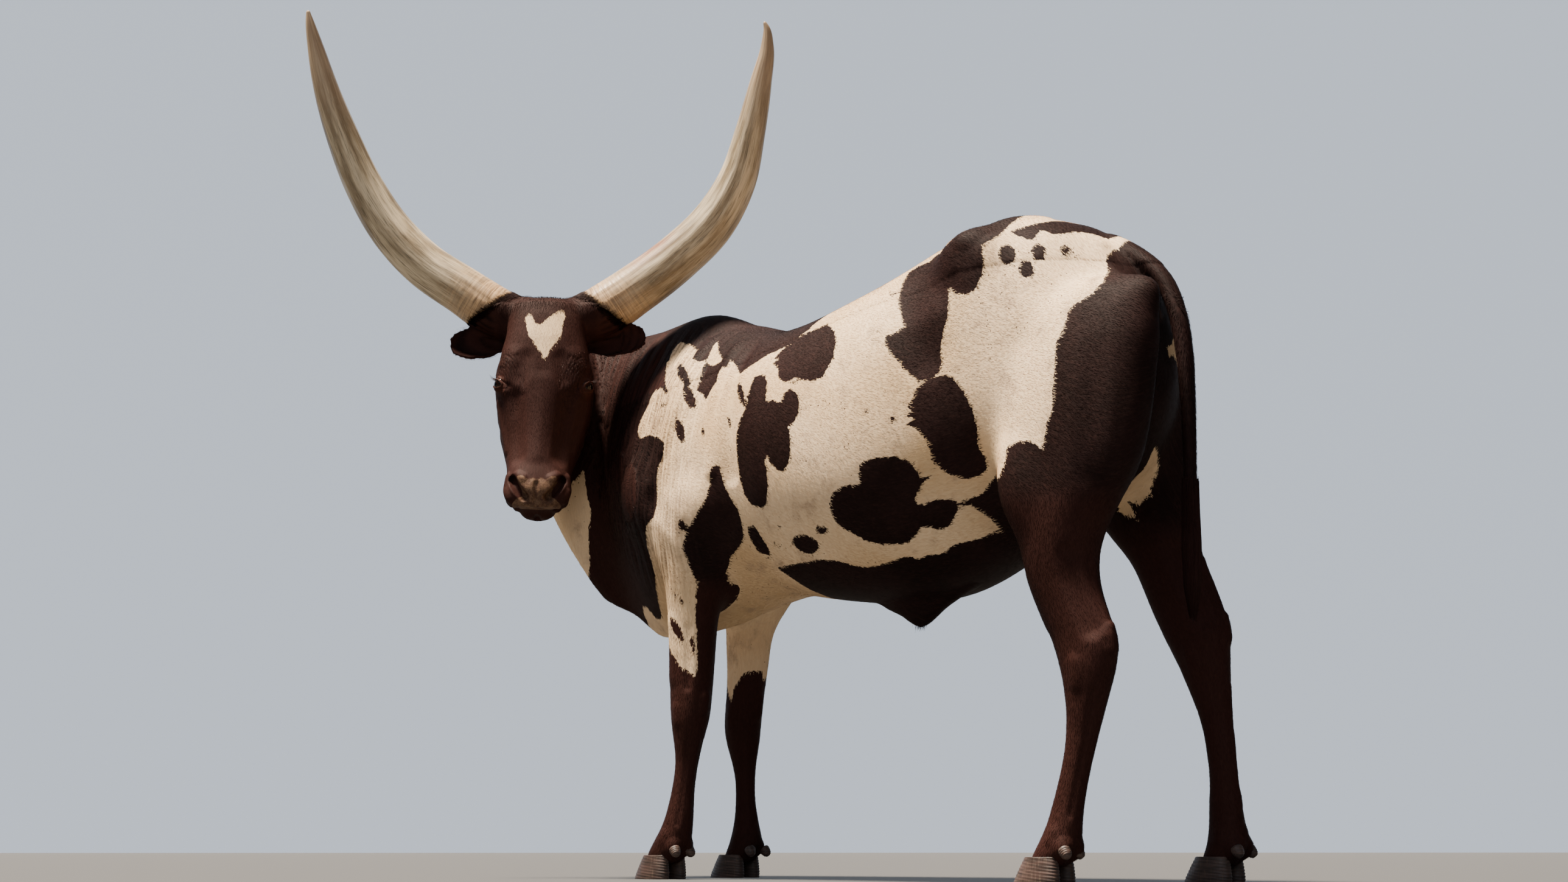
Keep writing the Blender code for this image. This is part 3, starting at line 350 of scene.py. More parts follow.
# Small dark spots on the same chart: place, half length, half width and its turn.
DARK_SPOTS = {
    "rib_narrow": (-150, 334, 46, 9, 56),
    "rib_sliver": (-185, 394, 17, 5, 69),
    "back_drip": (39, 348, 11, 6, 65),
    "low_oval": (29, 694, 38, 22, 177),
    "low_spot": (94, 664, 17, 10, 3),
    "low_fleck_a": (-62, 699, 13, 7, 9),
    "low_fleck_b": (-37, 656, 10, 5, 168),
    "hook_fleck": (264, 193, 12, 6, 59),
    "rump_a": (570, 219, 21, 17, 63),
    "rump_b": (614, 248, 21, 16, 75),
    "rump_c": (631, 203, 20, 14, 81),
    "rump_d": (674, 169, 19, 10, 97),
    "rump_e": (690, 165, 9, 4, 91),
    "speck_a": (221, 338, 7, 4, 52),
    "speck_b": (262, 448, 9, 5, 36),
    "speck_c": (317, 489, 13, 6, 42),
    "speck_d": (268, 278, 7, 4, 43),
    "wither_a": (-417, 195, 75, 11, 47),
    "wither_b": (-497, 188, 66, 6, 45),
    "wither_c": (-358, 283, 51, 13, 54),
    "wither_e": (-372, 372, 49, 13, 64),
    "wither_f": (-462, 259, 16, 5, 46),
    "wither_g": (-275, 405, 13, 7, 67),
    "wither_h": (-349, 632, 15, 13, 58),
    "wither_i": (-288, 475, 8, 3, 12),
}
LIGHT_PATCHES = {
    "throat": [(-992, 805), (-1003, 843), (-1025, 876), (-1040, 916), (-1040, 975), (-885, 975),
        (-890, 942), (-894, 916), (-908, 896), (-906, 859), (-926, 848), (-966, 837)],
    "brisket": [(-691, 899), (-651, 880), (-625, 890), (-600, 884), (-575, 975), (-700, 975)],
}
# The white heart on the forehead, across and down the face.
HEART = [(-51, 57), (-46, 43), (-35, 50), (-26, 73), (-13, 79), (-1, 65), (17, 47), (31, 34),
    (44, 28), (47, 50), (42, 78), (41, 104), (30, 124), (17, 141), (9, 162), (1, 175), (-6, 156),
    (-19, 138), (-29, 121), (-41, 107), (-45, 86)]
# White fronts of the upper forelegs and the pale patch inside the right thigh: 50 times the
# angle round the leg from straight ahead, and the height.
FORE_LEFT_WHITE = [(-6, 780), (-12, 700), (-25, 640), (-30, 590), (-10, 566), (15, 566), (32, 559),
    (57, 531), (73, 508), (94, 492), (114, 483), (129, 467), (125, 568), (120, 618), (119, 653),
    (104, 710), (98, 735), (88, 780)]
FORE_RIGHT_WHITE = [(-220, 500), (-160, 508), (-132, 509), (-107, 505), (-91, 485), (-76, 468),
    (-70, 435), (-50, 455), (-20, 500), (20, 520), (60, 505), (90, 530), (120, 500), (150, 490),
    (220, 500), (220, 800), (-220, 800)]
THIGH_WHITE = [(-108, 925), (-123, 899), (-125, 875), (-120, 850), (-114, 823), (-100, 800),
    (-86, 811), (-90, 767), (-70, 790), (-72, 840), (-80, 890), (-96, 925)]
FORE_SPOTS = {
    "fore_a": (66, 679, 18, 8, 107),
    "fore_b": (92, 686, 12, 5, 105),
    "fore_c": (88, 653, 9, 4, 118),
    "fore_d": (73, 587, 35, 11, 121),
    "fore_e": (115, 553, 20, 6, 100),
}
MIDDLE = np.array((0.2523, -0.1340, 0.0))   # the same step onto the middle that the solids take
GRAIN = 0.0045    # size of the skin's facets before it is thinned
BODY_GRAIN = 0.009                    # and of the mass of the body, which is smoother
SKIN_TRIANGLES = 192000
BODY_INSET = 0.0035                   # how deep under the solids' surface the hide lies
HEAD_INSET = 0.0020

# Fine forms on the hide: a path of points, how far the form reaches from it and how far
# it lifts the skin (a minus sign sinks it). Those of a pair are given for the left side.
PAIRED_FORMS = {
    "shoulder_blade_spine": ([(0.115, -0.400, 1.330), (0.190, -0.400, 1.180), (0.225, -0.430, 1.020)],
        0.035, 0.006),
    "blade_rear_edge": ([(0.150, -0.270, 1.290), (0.235, -0.255, 1.120), (0.262, -0.240, 0.940)],
        0.030, 0.007),
    "behind_blade": ([(0.180, -0.205, 1.270), (0.262, -0.190, 1.100), (0.285, -0.175, 0.920)],
        0.034, -0.007),
    "shoulder_fold": ([(0.180, -0.340, 1.240), (0.235, -0.325, 1.080), (0.255, -0.320, 0.930)],
        0.012, -0.003),
    "shoulder_fold_front": ([(0.150, -0.475, 1.260), (0.215, -0.480, 1.100), (0.235, -0.490, 0.960)],
        0.014, -0.003),
    "upper_arm_groove": ([(0.240, -0.470, 0.900), (0.258, -0.390, 0.840), (0.250, -0.300, 0.760)],
        0.045, -0.005),
    "hip_ridge": ([(0.060, 0.560, 1.440), (0.150, 0.520, 1.425), (0.228, 0.470, 1.370)], 0.040, 0.007),
    "hip_to_stifle": ([(0.262, 0.490, 1.270), (0.285, 0.520, 1.080), (0.270, 0.560, 0.900)], 0.045, 0.005),
    "flank_hollow": ([(0.290, 0.330, 1.220), (0.300, 0.400, 1.120)], 0.085, -0.010),
    "flank_fold": ([(0.290, 0.370, 0.870), (0.270, 0.455, 0.810), (0.245, 0.530, 0.740)], 0.030, 0.009),
    "flank_fold_shade": ([(0.290, 0.350, 0.810), (0.262, 0.440, 0.750), (0.235, 0.510, 0.690)],
        0.030, -0.008),
    "thurl": ([(0.232, 0.640, 1.180)], 0.080, 0.007),
    "thigh_groove": ([(0.190, 0.790, 1.180), (0.235, 0.790, 0.980), (0.225, 0.770, 0.820)], 0.045, -0.005),
    "thigh_rear": ([(0.130, 0.850, 1.120), (0.180, 0.850, 0.960), (0.190, 0.820, 0.820)], 0.035, 0.004),
    "tail_head_hollow": ([(0.062, 0.745, 1.345), (0.080, 0.810, 1.270)], 0.034, -0.008),
    "jugular_groove": ([(0.180, -0.640, 0.860), (0.170, -0.740, 0.980)], 0.030, -0.007),
    "neck_edge": ([(0.120, -0.560, 1.320), (0.190, -0.590, 1.150), (0.195, -0.600, 0.980)], 0.032, -0.005),
}
SINGLE_FORMS = {
    "backbone": ([(0.0, -0.300, 1.345), (0.0, 0.000, 1.335), (0.0, 0.300, 1.415), (0.0, 0.700, 1.400)],
        0.050, 0.004),
    "dewlap": ([(0.000, -0.660, 0.600), (0.030, -0.800, 0.690), (0.120, -0.880, 0.830)], 0.022, 0.004),
    "belly_line": ([(0.0, -0.300, 0.640), (0.0, 0.050, 0.620)], 0.030, -0.004),
    "navel_fold": ([(0.0, 0.060, 0.618), (0.0, 0.300, 0.640)], 0.035, 0.006),
}

# Fine forms of a leg, set round its own axis: height at the top and at the bottom, the
# direction they face in degrees from straight ahead round the outer side, reach and lift.
FOOT_FORMS = {
    "fetlock": (0.105, 0.085, 180, 0.028, 0.003),
    "fetlock_outer": (0.105, 0.095, 85, 0.022, 0.003),
    "fetlock_inner": (0.105, 0.095, -85, 0.022, 0.003),
    "digit_split": (0.085, 0.030, 0, 0.012, -0.007),
    "digit_split_rear": (0.070, 0.030, 180, 0.012, -0.006),
}
FORE_FORMS = {
    "forearm_muscle": (0.600, 0.480, 60, 0.040, 0.004),
    "forearm_groove": (0.590, 0.450, 115, 0.018, -0.004),
    "knee_front": (0.415, 0.350, 0, 0.030, 0.005),
    "knee_outer": (0.400, 0.370, 80, 0.022, 0.003),
    "knee_inner": (0.400, 0.370, -80, 0.022, 0.003),
    "pisiform": (0.425, 0.395, 175, 0.024, 0.007),
    "tendon": (0.320, 0.150, 172, 0.016, 0.004),
    "tendon_groove_outer": (0.325, 0.130, 125, 0.013, -0.0035),
    "tendon_groove_inner": (0.325, 0.130, -125, 0.013, -0.0035),
    **FOOT_FORMS,
}
HIND_FORMS = {
    "hock_point": (0.500, 0.470, 172, 0.030, 0.008),
    "heel_tendon": (0.640, 0.520, 176, 0.020, 0.007),
    "heel_hollow_outer": (0.660, 0.510, 128, 0.034, -0.008),
    "heel_hollow_inner": (0.660, 0.510, -128, 0.034, -0.008),
    "hock_front": (0.470, 0.420, 0, 0.026, 0.003),
    "hock_outer": (0.440, 0.400, 85, 0.026, 0.004),
    "hock_inner": (0.440, 0.400, -85, 0.026, 0.005),
    "tendon": (0.370, 0.160, 174, 0.017, 0.005),
    "tendon_groove_outer": (0.380, 0.140, 128, 0.014, -0.004),
    "tendon_groove_inner": (0.380, 0.140, -128, 0.014, -0.004),
    "shank_front": (0.620, 0.520, 10, 0.030, 0.003),
    **FOOT_FORMS,
}

# Fine forms of the head, in its own frame (to its left, down the face, out of the face);
# the left of each pair.
HEAD_FORMS = {
    "poll_corner": ([(0.055, -0.005, -0.070)], 0.035, 0.008),
    "forehead_side": ([(0.074, 0.030, -0.034), (0.084, 0.085, -0.034), (0.092, 0.130, -0.034)],
        0.040, 0.0045),
    "brow": ([(0.080, 0.160, -0.004), (0.100, 0.172, -0.024), (0.112, 0.188, -0.046)], 0.040, 0.0035),
    "brow_hollow": ([(0.048, 0.170, 0.010), (0.056, 0.215, 0.004)], 0.034, -0.004),
    "temple": ([(0.104, 0.090, -0.060), (0.108, 0.140, -0.070)], 0.034, -0.003),
    "lower_rim": ([(0.096, 0.245, -0.030), (0.106, 0.238, -0.060)], 0.020, 0.004),
    "tear_groove": ([(0.086, 0.245, -0.012), (0.072, 0.300, -0.020)], 0.024, -0.0015),
    "cheek_crest": ([(0.104, 0.265, -0.070), (0.092, 0.330, -0.070), (0.078, 0.390, -0.066)], 0.020, 0.005),
    "cheek_muscle": ([(0.112, 0.200, -0.150), (0.108, 0.270, -0.170)], 0.060, 0.006),
    "cheek_front_edge": ([(0.104, 0.320, -0.110), (0.100, 0.340, -0.170)], 0.026, -0.006),
    "nose_side": ([(0.066, 0.270, -0.010), (0.062, 0.350, -0.020), (0.056, 0.420, -0.016)], 0.034, -0.006),
    "nose_bone": ([(0.014, 0.230, 0.006), (0.014, 0.330, 0.004), (0.012, 0.420, 0.004)], 0.034, 0.002),
    "nostril_wing": ([(0.078, 0.470, -0.030), (0.080, 0.500, -0.034), (0.066, 0.532, -0.026)], 0.017, 0.006),
    "nostril_top": ([(0.036, 0.484, 0.004), (0.050, 0.474, -0.002)], 0.018, 0.006),
    "muzzle_groove": ([(0.000, 0.500, 0.006), (0.000, 0.545, -0.014)], 0.010, -0.0025),
    "upper_lip": ([(0.000, 0.545, -0.020), (0.040, 0.541, -0.024), (0.066, 0.528, -0.044)], 0.014, 0.003),
    "mouth": ([(0.046, 0.552, -0.046), (0.064, 0.540, -0.062), (0.078, 0.505, -0.088),
        (0.084, 0.465, -0.100)], 0.010, -0.007),
    "mouth_corner": ([(0.084, 0.462, -0.102)], 0.016, -0.005),
    "lip_notch": ([(0.000, 0.566, -0.058), (0.000, 0.560, -0.090)], 0.011, -0.006),
    "lip_lobe": ([(0.024, 0.560, -0.070)], 0.022, 0.003),
    "chin": ([(0.000, 0.535, -0.104), (0.030, 0.520, -0.110)], 0.024, 0.004),
    "jaw_edge": ([(0.094, 0.230, -0.215), (0.084, 0.310, -0.200), (0.066, 0.400, -0.155)], 0.026, 0.004),
    "jaw_hollow": ([(0.030, 0.300, -0.215), (0.024, 0.420, -0.150)], 0.032, -0.008),
}
NOSTRIL = [(0.060, 0.484, -0.013), (0.053, 0.500, -0.008), (0.043, 0.516, -0.005),
    (0.030, 0.530, -0.006)]
NOSTRIL_REACH = 0.0160
NOSTRIL_DEPTH = 0.024

# Wrinkles over the brow: the first path, the step to each next one, how many, how far each
# reaches and how far it lifts the skin.
BROW_FOLD = [(0.098, 0.142, -0.024), (0.082, 0.168, 0.000), (0.068, 0.208, 0.006),
    (0.062, 0.252, -0.004)]
BROW_STEP = (-0.0085, -0.004, 0.0015)
BROW_FOLDS = 3
BROW_REACH = 0.0060
BROW_LIFT = -0.0013

# The muzzle over the mouth and the lower jaw, in the columns of the head: they part at the
# mouth, so that the upper lip overhangs the narrower lower one.
FACE = [row for row in HEAD if row[0] < 0.40] + [
    (0.440, -0.068, 0.082, 0.001, -0.128, 2.0, 2.0),
    (0.480, -0.054, 0.080, 0.006, -0.106, 2.4, 2.2),
    (0.515, -0.050, 0.080, 0.006, -0.094, 2.5, 2.4),
    (0.536, -0.052, 0.074, -0.005, -0.086, 2.4, 2.4),
    (0.551, -0.055, 0.058, -0.022, -0.078, 2.2, 2.2),
]
LOWER_JAW = [
    (0.380, -0.130, 0.062, -0.090, -0.178, 2.0, 2.0),
    (0.440, -0.112, 0.058, -0.080, -0.146, 2.0, 2.0),
    (0.500, -0.098, 0.055, -0.066, -0.130, 2.0, 2.0),
    (0.535, -0.088, 0.047, -0.056, -0.120, 2.0, 2.0),
    (0.554, -0.082, 0.039, -0.052, -0.110, 2.0, 2.0),
    (0.563, -0.080, 0.024, -0.060, -0.100, 2.0, 2.0),
]

# Where each hoof and its dewclaws sit: middle of the sole, the point between the dewclaws,
# how far out the outer and the inner one stand, as in the solids, and their height.
FEET = {
    "fore_left": ((0.145, -0.522), (0.145, -0.434), (0.030, 0.020), 0.064),
    "fore_right": ((-0.145, -0.545), (-0.145, -0.456), (0.026, 0.030), 0.064),
    "hind_left": ((0.180, 0.600), (0.180, 0.680), (0.030, 0.018), 0.064),
    "hind_right": ((-0.160, 0.797), (-0.160, 0.878), (0.026, 0.030), 0.066),
}
# The hide swells to seat each dewclaw: how far from its middle the swelling is centred, back
# and up, how far it reaches and how much it lifts.
SEAT_SHIFT = (-0.004, 0.006)
SEAT_REACH = 0.034
SEAT_LIFT = 0.011

# The lid opening of an eye, on a unit sphere round the eyeball: half its length towards
# the corners and half its height, and how much thicker than the ball the lids lie.
LID_LENGTH = 0.98
LID_HEIGHT = 0.48
LID_DEPTH = 0.0022
LID_SLANT = math.radians(24)          # the front corner lies lower down the face
EYE_LOOK = (0.86, 0.05, 0.50)         # which way the eye faces, in the head's frame
COLLAR_LENGTH = 0.098                 # how far out the hairy skin climbs a horn
COLLAR_SLANT = 0.040                  # and how much further below and less far above
COLLAR_SWELL = 0.0070
COLLAR_STEP = 0.004                   # from one ring of the collar to the next


def frame_axes(turn, tilt, roll):
    """The axes of a head that looks round by turn, tips its face forward at the bottom
    by tilt and leans by roll: to its own left, down its face and out of its face."""
    ahead = np.array((math.sin(turn), -math.cos(turn), 0.0))
    up = np.array((0.0, 0.0, 1.0))
    left = np.cross(up, ahead)
    down = -up * math.cos(tilt) + ahead * math.sin(tilt)
    out = ahead * math.cos(tilt) + up * math.sin(tilt)
    return (left * math.cos(roll) + down * math.sin(roll),
            down * math.cos(roll) - left * math.sin(roll), out)


HEAD_AXES = np.array(frame_axes(HEAD_TURN, FACE_TILT, HEAD_ROLL))
POLL_POINT = np.array(POLL)


def mirror(side):
    """What a place of the left side is multiplied by, to lie on the given side."""
    return np.array((side, 1.0, 1.0))


def on_head(place):
    """Points of the head's own frame (left, down, out), in the animal's axes."""
    return POLL_POINT + np.asarray(place, dtype=float) @ HEAD_AXES


def in_head(points):
    """Points of the animal, told in the head's own frame."""
    return (points - POLL_POINT) @ HEAD_AXES.T


def smooth_rows(rows, step):
    """Rows of numbers blended into a finer list: a cubic through each pair of rows, with
    the slope at a row taken from its two neighbours. The first three columns are places,
    and their spacing sets how many rows go between two."""
    table = np.array(rows, dtype=float)
    run = np.linalg.norm(np.diff(table[:, :3], axis=0), axis=1)
    at = np.concatenate(([0.0], np.cumsum(run)))
    slopes = np.gradient(table, at, axis=0)
    count = max(2, int(round(at[-1] / step)) + 1)
    fine = np.linspace(0.0, at[-1], count)
    low = np.clip(np.searchsorted(at, fine, side="right") - 1, 0, len(at) - 2)
    length = (at[low + 1] - at[low])[:, None]
    t = (fine - at[low])[:, None] / length
    start, end = table[low], table[low + 1]
    start_slope, end_slope = slopes[low] * length, slopes[low + 1] * length
    return ((2 * t**3 - 3 * t**2 + 1) * start + (t**3 - 2 * t**2 + t) * start_slope
            + (3 * t**2 - 2 * t**3) * end + (t**3 - t**2) * end_slope)


def round_section(half_width, rise, fall, square_up, square_down, count=64):
    """Rounded sections, one for each row. At each angle the point lies on a superellipse:
    its cosine and sine are over the root, of the order of the squareness, of the sum of
    both raised to that order; across counts in half widths, height in rises or falls."""
    turn = np.linspace(0.0, 2.0 * math.pi, count, endpoint=False)[None, :]
    sine, cosine = np.sin(turn), np.cos(turn)
    upper = sine >= 0.0
    order = np.where(upper, square_up[:, None], square_down[:, None])
    root = (np.abs(sine) ** order + np.abs(cosine) ** order) ** (1.0 / order)
    reach = np.where(upper, rise[:, None], fall[:, None])
    return half_width[:, None] * cosine / root, reach * sine / root


def tube_faces(rings, around, start=0):
    """Faces of a closed tube of equal rings: a quad between each two neighbours of two
    rings, and one face over each end."""
    index = np.arange(rings * around).reshape(rings, around) + start
    after = np.roll(index, -1, axis=1)
    quads = np.stack([index[:-1], after[:-1], after[1:], index[1:]], axis=-1).reshape(-1, 4)
    return quads.tolist() + [index[0, ::-1].tolist(), index[-1].tolist()]


def spine_mass():
    """Barrel, chest and neck: upright sections set across the path of the spine."""
    rows = [(x, y, 0.0, *rest) for x, y, *rest in SPINE]
    fine = smooth_rows(rows, 0.02)
    ahead = np.gradient(fine[:, :2], axis=0)
    ahead /= np.linalg.norm(ahead, axis=1)[:, None]
    x, y, _, wide, width, top, bottom, upper, lower = fine.T
    across, height = round_section(width, top - wide, wide - bottom, upper, lower)
    return np.stack([x[:, None] - ahead[:, 1:] * across, y[:, None] + ahead[:, :1] * across,
                     wide[:, None] + height], axis=-1)


def head_mass(rows, step):
    """A length of the head: sections across the face, set one below the other."""
    table = [(down, 0.0, 0.0, *rest) for down, *rest in rows]
    down, _, _, wide, width, front, back, upper, lower = smooth_rows(table, step).T
    across, out = round_section(width, front - wide, wide - back, upper, lower, 96)
    below = np.broadcast_to(down[:, None], across.shape)
    return on_head(np.stack([across, below, wide[:, None] + out], axis=-1))


def upright_mass(rows):
    """A leg or a pouch: level sections, narrow across and long fore and aft."""
    table = [(x, y, z, along, across) for z, x, y, along, across in rows]
    x, y, z, along, across = smooth_rows(table, 0.016).T
    square = np.full(len(x), 2.1)
    side, length = round_section(across, along, along, square, square)
    return np.stack([x[:, None] + side, y[:, None] + length,
                     np.broadcast_to(z[:, None], side.shape)], axis=-1)


def run_frames(path):
    """For each point of a path: the way ahead and two directions square to it, the first
    carried along the path without twist."""
    ahead = np.gradient(path, axis=0)
    ahead /= np.linalg.norm(ahead, axis=1)[:, None]
    side = np.empty_like(ahead)
    guide = np.cross(ahead[0], (0.0, 0.0, 1.0))
    if np.linalg.norm(guide) < 0.1:
        guide = np.cross(ahead[0], (1.0, 0.0, 0.0))
    for row, way in enumerate(ahead):
        guide = guide - way * guide.dot(way)
        guide = guide / np.linalg.norm(guide)
        side[row] = guide
    return ahead, side, np.cross(ahead, side)


def tube_rings(rows, around, step):
    """Rings of an oval tube: each ring lies square to the run of the middle points."""
    fine = smooth_rows(rows, step)
    _, side, other = run_frames(fine[:, :3])
    turn = np.linspace(0.0, 2.0 * math.pi, around, endpoint=False)[None, :, None]
    return (fine[:, None, :3] + side[:, None] * (fine[:, None, 3:4] * np.cos(turn))
            + other[:, None] * (fine[:, None, 4:5] * np.sin(turn)))


def ear_rings(root_tip, side):
    """An ear: a flattened tube bent to a cup. Along it the half width grows as a smooth
    step, stays and ends round; across it the leaf curls forward by a square law; the shell is
    as thick as its middle nearly out to the rounded rim."""
    root, tip = on_head(root_tip[0]), on_head(root_tip[1])
    along = tip - root
    length = np.linalg.norm(along)
    along = along / length
    cup = HEAD_AXES[2] - along * HEAD_AXES[2].dot(along)
    cup /= np.linalg.norm(cup)
    across = np.cross(along, cup) * side
    u = np.linspace(0.0, 1.0, 48)[:, None]
    turn = np.linspace(0.0, 2.0 * math.pi, 40, endpoint=False)[None, :]
    v = np.cos(turn)
    grown = np.minimum(1.0, u / EAR_FULL)
    half = 0.5 * EAR_WIDTH * (EAR_ROOT + (1.0 - EAR_ROOT) * grown * grown * (3.0 - 2.0 * grown))
    past = np.maximum(0.0, (u - EAR_ROUND) / (1.0 - EAR_ROUND))
    half = half * (EAR_TIP + (1.0 - EAR_TIP) * np.sqrt(np.maximum(0.0, 1.0 - past ** 2.4)))
    lift = EAR_CUP * (v * v - 0.55) * (1.0 - 0.55 * u)
    leaf = 0.5 * (EAR_SHELL - EAR_THINNING * u)
    shell = leaf * np.sign(np.sin(turn)) * np.abs(np.sin(turn)) ** 0.40
    return (root + along * (length * u)[..., None] + across * (half * v)[..., None]
            + cup * (lift + shell)[..., None])


def horn_axes():
    """The plane of the pair of horns: out to the left, up and away to the back."""
    ahead = np.array((math.sin(HORN_TURN), -math.cos(HORN_TURN), 0.0))
    up = np.array((0.0, 0.0, 1.0))
    out = np.cross(up, ahead)
    rise = up * math.cos(HORN_LEAN) + ahead * math.sin(HORN_LEAN)
    away = up * math.sin(HORN_LEAN) - ahead * math.cos(HORN_LEAN)
    return out, rise, away


def horn_rows(run, side):
    """Middle points of a horn and its radius at each."""
    out, rise, away = horn_axes()
    return [(*(POLL_POINT + out * (side * far + HORN_MIDDLE) + rise * high + away * back), radius)
            for far, high, back, radius in run]


def collar_rings(run, side):
    """The hairy skin that climbs the root of a horn: a sleeve wider than the horn by a
    swell that fades evenly to its edge; the edge lies further out on the underside. Past
    it the sleeve hides inside the horn."""
    rows = smooth_rows(horn_rows(run, side), COLLAR_STEP)[:42]
    around = 48
    _, across, other = run_frames(rows[:, :3])
    turn = np.linspace(0.0, 2.0 * math.pi, around, endpoint=False)[None, :, None]
    way = across[:, None] * np.cos(turn) + other[:, None] * np.sin(turn)
    reach = COLLAR_LENGTH - COLLAR_SLANT * way[..., 2]
    fade = np.clip(COLLAR_STEP * np.arange(len(rows))[:, None] / reach, 0.0, 1.4)
    swell = COLLAR_SWELL * np.sqrt(np.maximum(0.0, 1.0 - fade))
    radius = rows[:, 3:4] + np.where(fade < 1.0, swell, np.maximum(-0.012, 0.10 * (1.0 - fade)))
    return rows[:, None, :3] + way * radius[..., None]


def mesh_object(name, points, faces):
    """An object at the origin with a mesh of the given points and faces."""
    shape = bpy.data.meshes.new(name)
    shape.from_pydata(np.asarray(points, dtype=float).tolist(), [], faces)
    made = bpy.data.objects.new(name, shape)
    bpy.context.scene.collection.objects.link(made)
    return made


def shade_smooth(shape):
    """Shade all faces of a mesh as one round surface."""
    shape.polygons.foreach_set("use_smooth", np.ones(len(shape.polygons), dtype=bool))


def give_numbers(shape, columns):
    """Let the mesh carry one number per point for each named column."""
    for column, values in columns.items():
        layer = shape.attributes.new(column, "FLOAT", "POINT")
        layer.data.foreach_set("value", np.ascontiguousarray(values, dtype=np.float32))


def read_mesh(thing):
    """Points and loose faces of an object after its modifiers; the object is removed."""
    graph = bpy.context.evaluated_depsgraph_get()
    final = bpy.data.meshes.new_from_object(thing.evaluated_get(graph))
    points = np.empty(len(final.vertices) * 3, dtype=np.float32)
    final.vertices.foreach_get("co", points)
    corners = np.empty(len(final.loops), dtype=np.int32)
    final.loops.foreach_get("vertex_index", corners)
    sizes = np.empty(len(final.polygons), dtype=np.int32)
    final.polygons.foreach_get("loop_total", sizes)
    bpy.data.objects.remove(thing, do_unlink=True)
    bpy.data.meshes.remove(final)
    return points.reshape(-1, 3).astype(float), corners, sizes


def melted(name, masses, grain):
    """One closed skin of even facets around overlapping masses, each a grid of rings or a
    pair of points and faces."""
    points, faces, start = [], [], 0
    for mass in masses:
        if isinstance(mass, tuple):
            own_points, own_faces = mass
            faces += (np.asarray(own_faces) + start).tolist()
        else:
            own_points = mass.reshape(-1, 3)
            faces += tube_faces(mass.shape[0], mass.shape[1], start)
        points.append(own_points)
        start += len(own_points)
    thing = mesh_object(name, np.concatenate(points), faces)
    melt = thing.modifiers.new("melt", "REMESH")
    melt.mode = "VOXEL"
    melt.voxel_size = grain
    melt.adaptivity = 0.0
    found, corners, _ = read_mesh(thing)
    return found, corners.reshape(-1, 4)


def edge_pairs(quads):
    """Every edge of the quads once, as two columns of point numbers."""
    both = np.concatenate([quads[:, [0, 1]], quads[:, [1, 2]], quads[:, [2, 3]], quads[:, [3, 0]]])
    both.sort(axis=1)
    return np.unique(both, axis=0).T


def relaxed(points, pairs, passes, weight):
    """Points moved, pass by pass, by a weight towards the mean of their neighbours."""
    first, second = pairs
    total = len(points)
    count = (np.bincount(first, minlength=total) + np.bincount(second, minlength=total))[:, None]
    for _ in range(passes):
        near = np.stack([np.bincount(first, points[second, k], total)
                         + np.bincount(second, points[first, k], total) for k in range(3)], axis=1)
        points = points + weight * (near / count - points)
    return points


def point_normals(points, corners):
    """Outward direction at each point: the sum over the faces around it of a cross product,
    of the two diagonals of a quad, or of two sides of a triangle from its first corner."""
    last = corners.shape[1] - 1
    first = points[corners[:, last - 1]] - points[corners[:, 0]]
    second = points[corners[:, last]] - points[corners[:, last - 2]]
    cross = np.cross(first, second)
    total = len(points)
    summed = np.stack([sum(np.bincount(corners[:, c], cross[:, k], total) for c in range(last + 1))
                       for k in range(3)], axis=1)
    return summed / np.maximum(np.linalg.norm(summed, axis=1), 1e-12)[:, None]


def stroke(points, middle, reach, push):
    """Move the points near a middle by push times the square of one less the squared
    distance, each axis counted in reaches, so that the stroke fades to nothing."""
    away = (points - np.array(middle)) / np.array(reach)
    near = np.clip(1.0 - (away ** 2).sum(axis=1), 0.0, 1.0) ** 2
    return points + near[:, None] * np.array(push)


def shaped(points):
    """The same strokes of bone and muscle as the solids have."""
    for middle, reach, push in PAIRED_STROKES.values():
        for side in (1.0, -1.0):
            points = stroke(points, middle * mirror(side), reach, push * mirror(side))
    for middle, reach, push in SINGLE_STROKES.values():
        points = stroke(points, middle, reach, push)
    return points


def distance_to_path(points, path):
    """Shortest distance of each point to a path of straight lengths."""
    path = np.atleast_2d(np.array(path, dtype=float))
    best = np.linalg.norm(points - path[0], axis=1)
    for start, end in zip(path[:-1], path[1:]):
        run = end - start
        t = np.clip((points - start) @ run / run.dot(run), 0.0, 1.0)
        best = np.minimum(best, np.linalg.norm(points - (start + t[:, None] * run), axis=1))
    return best


def raised(points, normals, path, reach, lift):
    """Lift the skin along its own direction near a path: the lift fades as the square of
    one less the squared distance over the reach."""
    low = np.min(np.atleast_2d(path), axis=0) - reach
    high = np.max(np.atleast_2d(path), axis=0) + reach
    near = np.flatnonzero(((points > low) & (points < high)).all(axis=1))
    if len(near):
        far = distance_to_path(points[near], path) / reach
        fade = np.clip(1.0 - far ** 2, 0.0, 1.0) ** 2
        points[near] += normals[near] * (lift * fade)[:, None]


def leg_axis(rows, height):
    """Middle of a leg's section and its half sizes (along, across) at each height."""
    table = np.array(rows)
    return [np.interp(height, table[:, 0], table[:, column]) for column in (1, 2, 3, 4)]


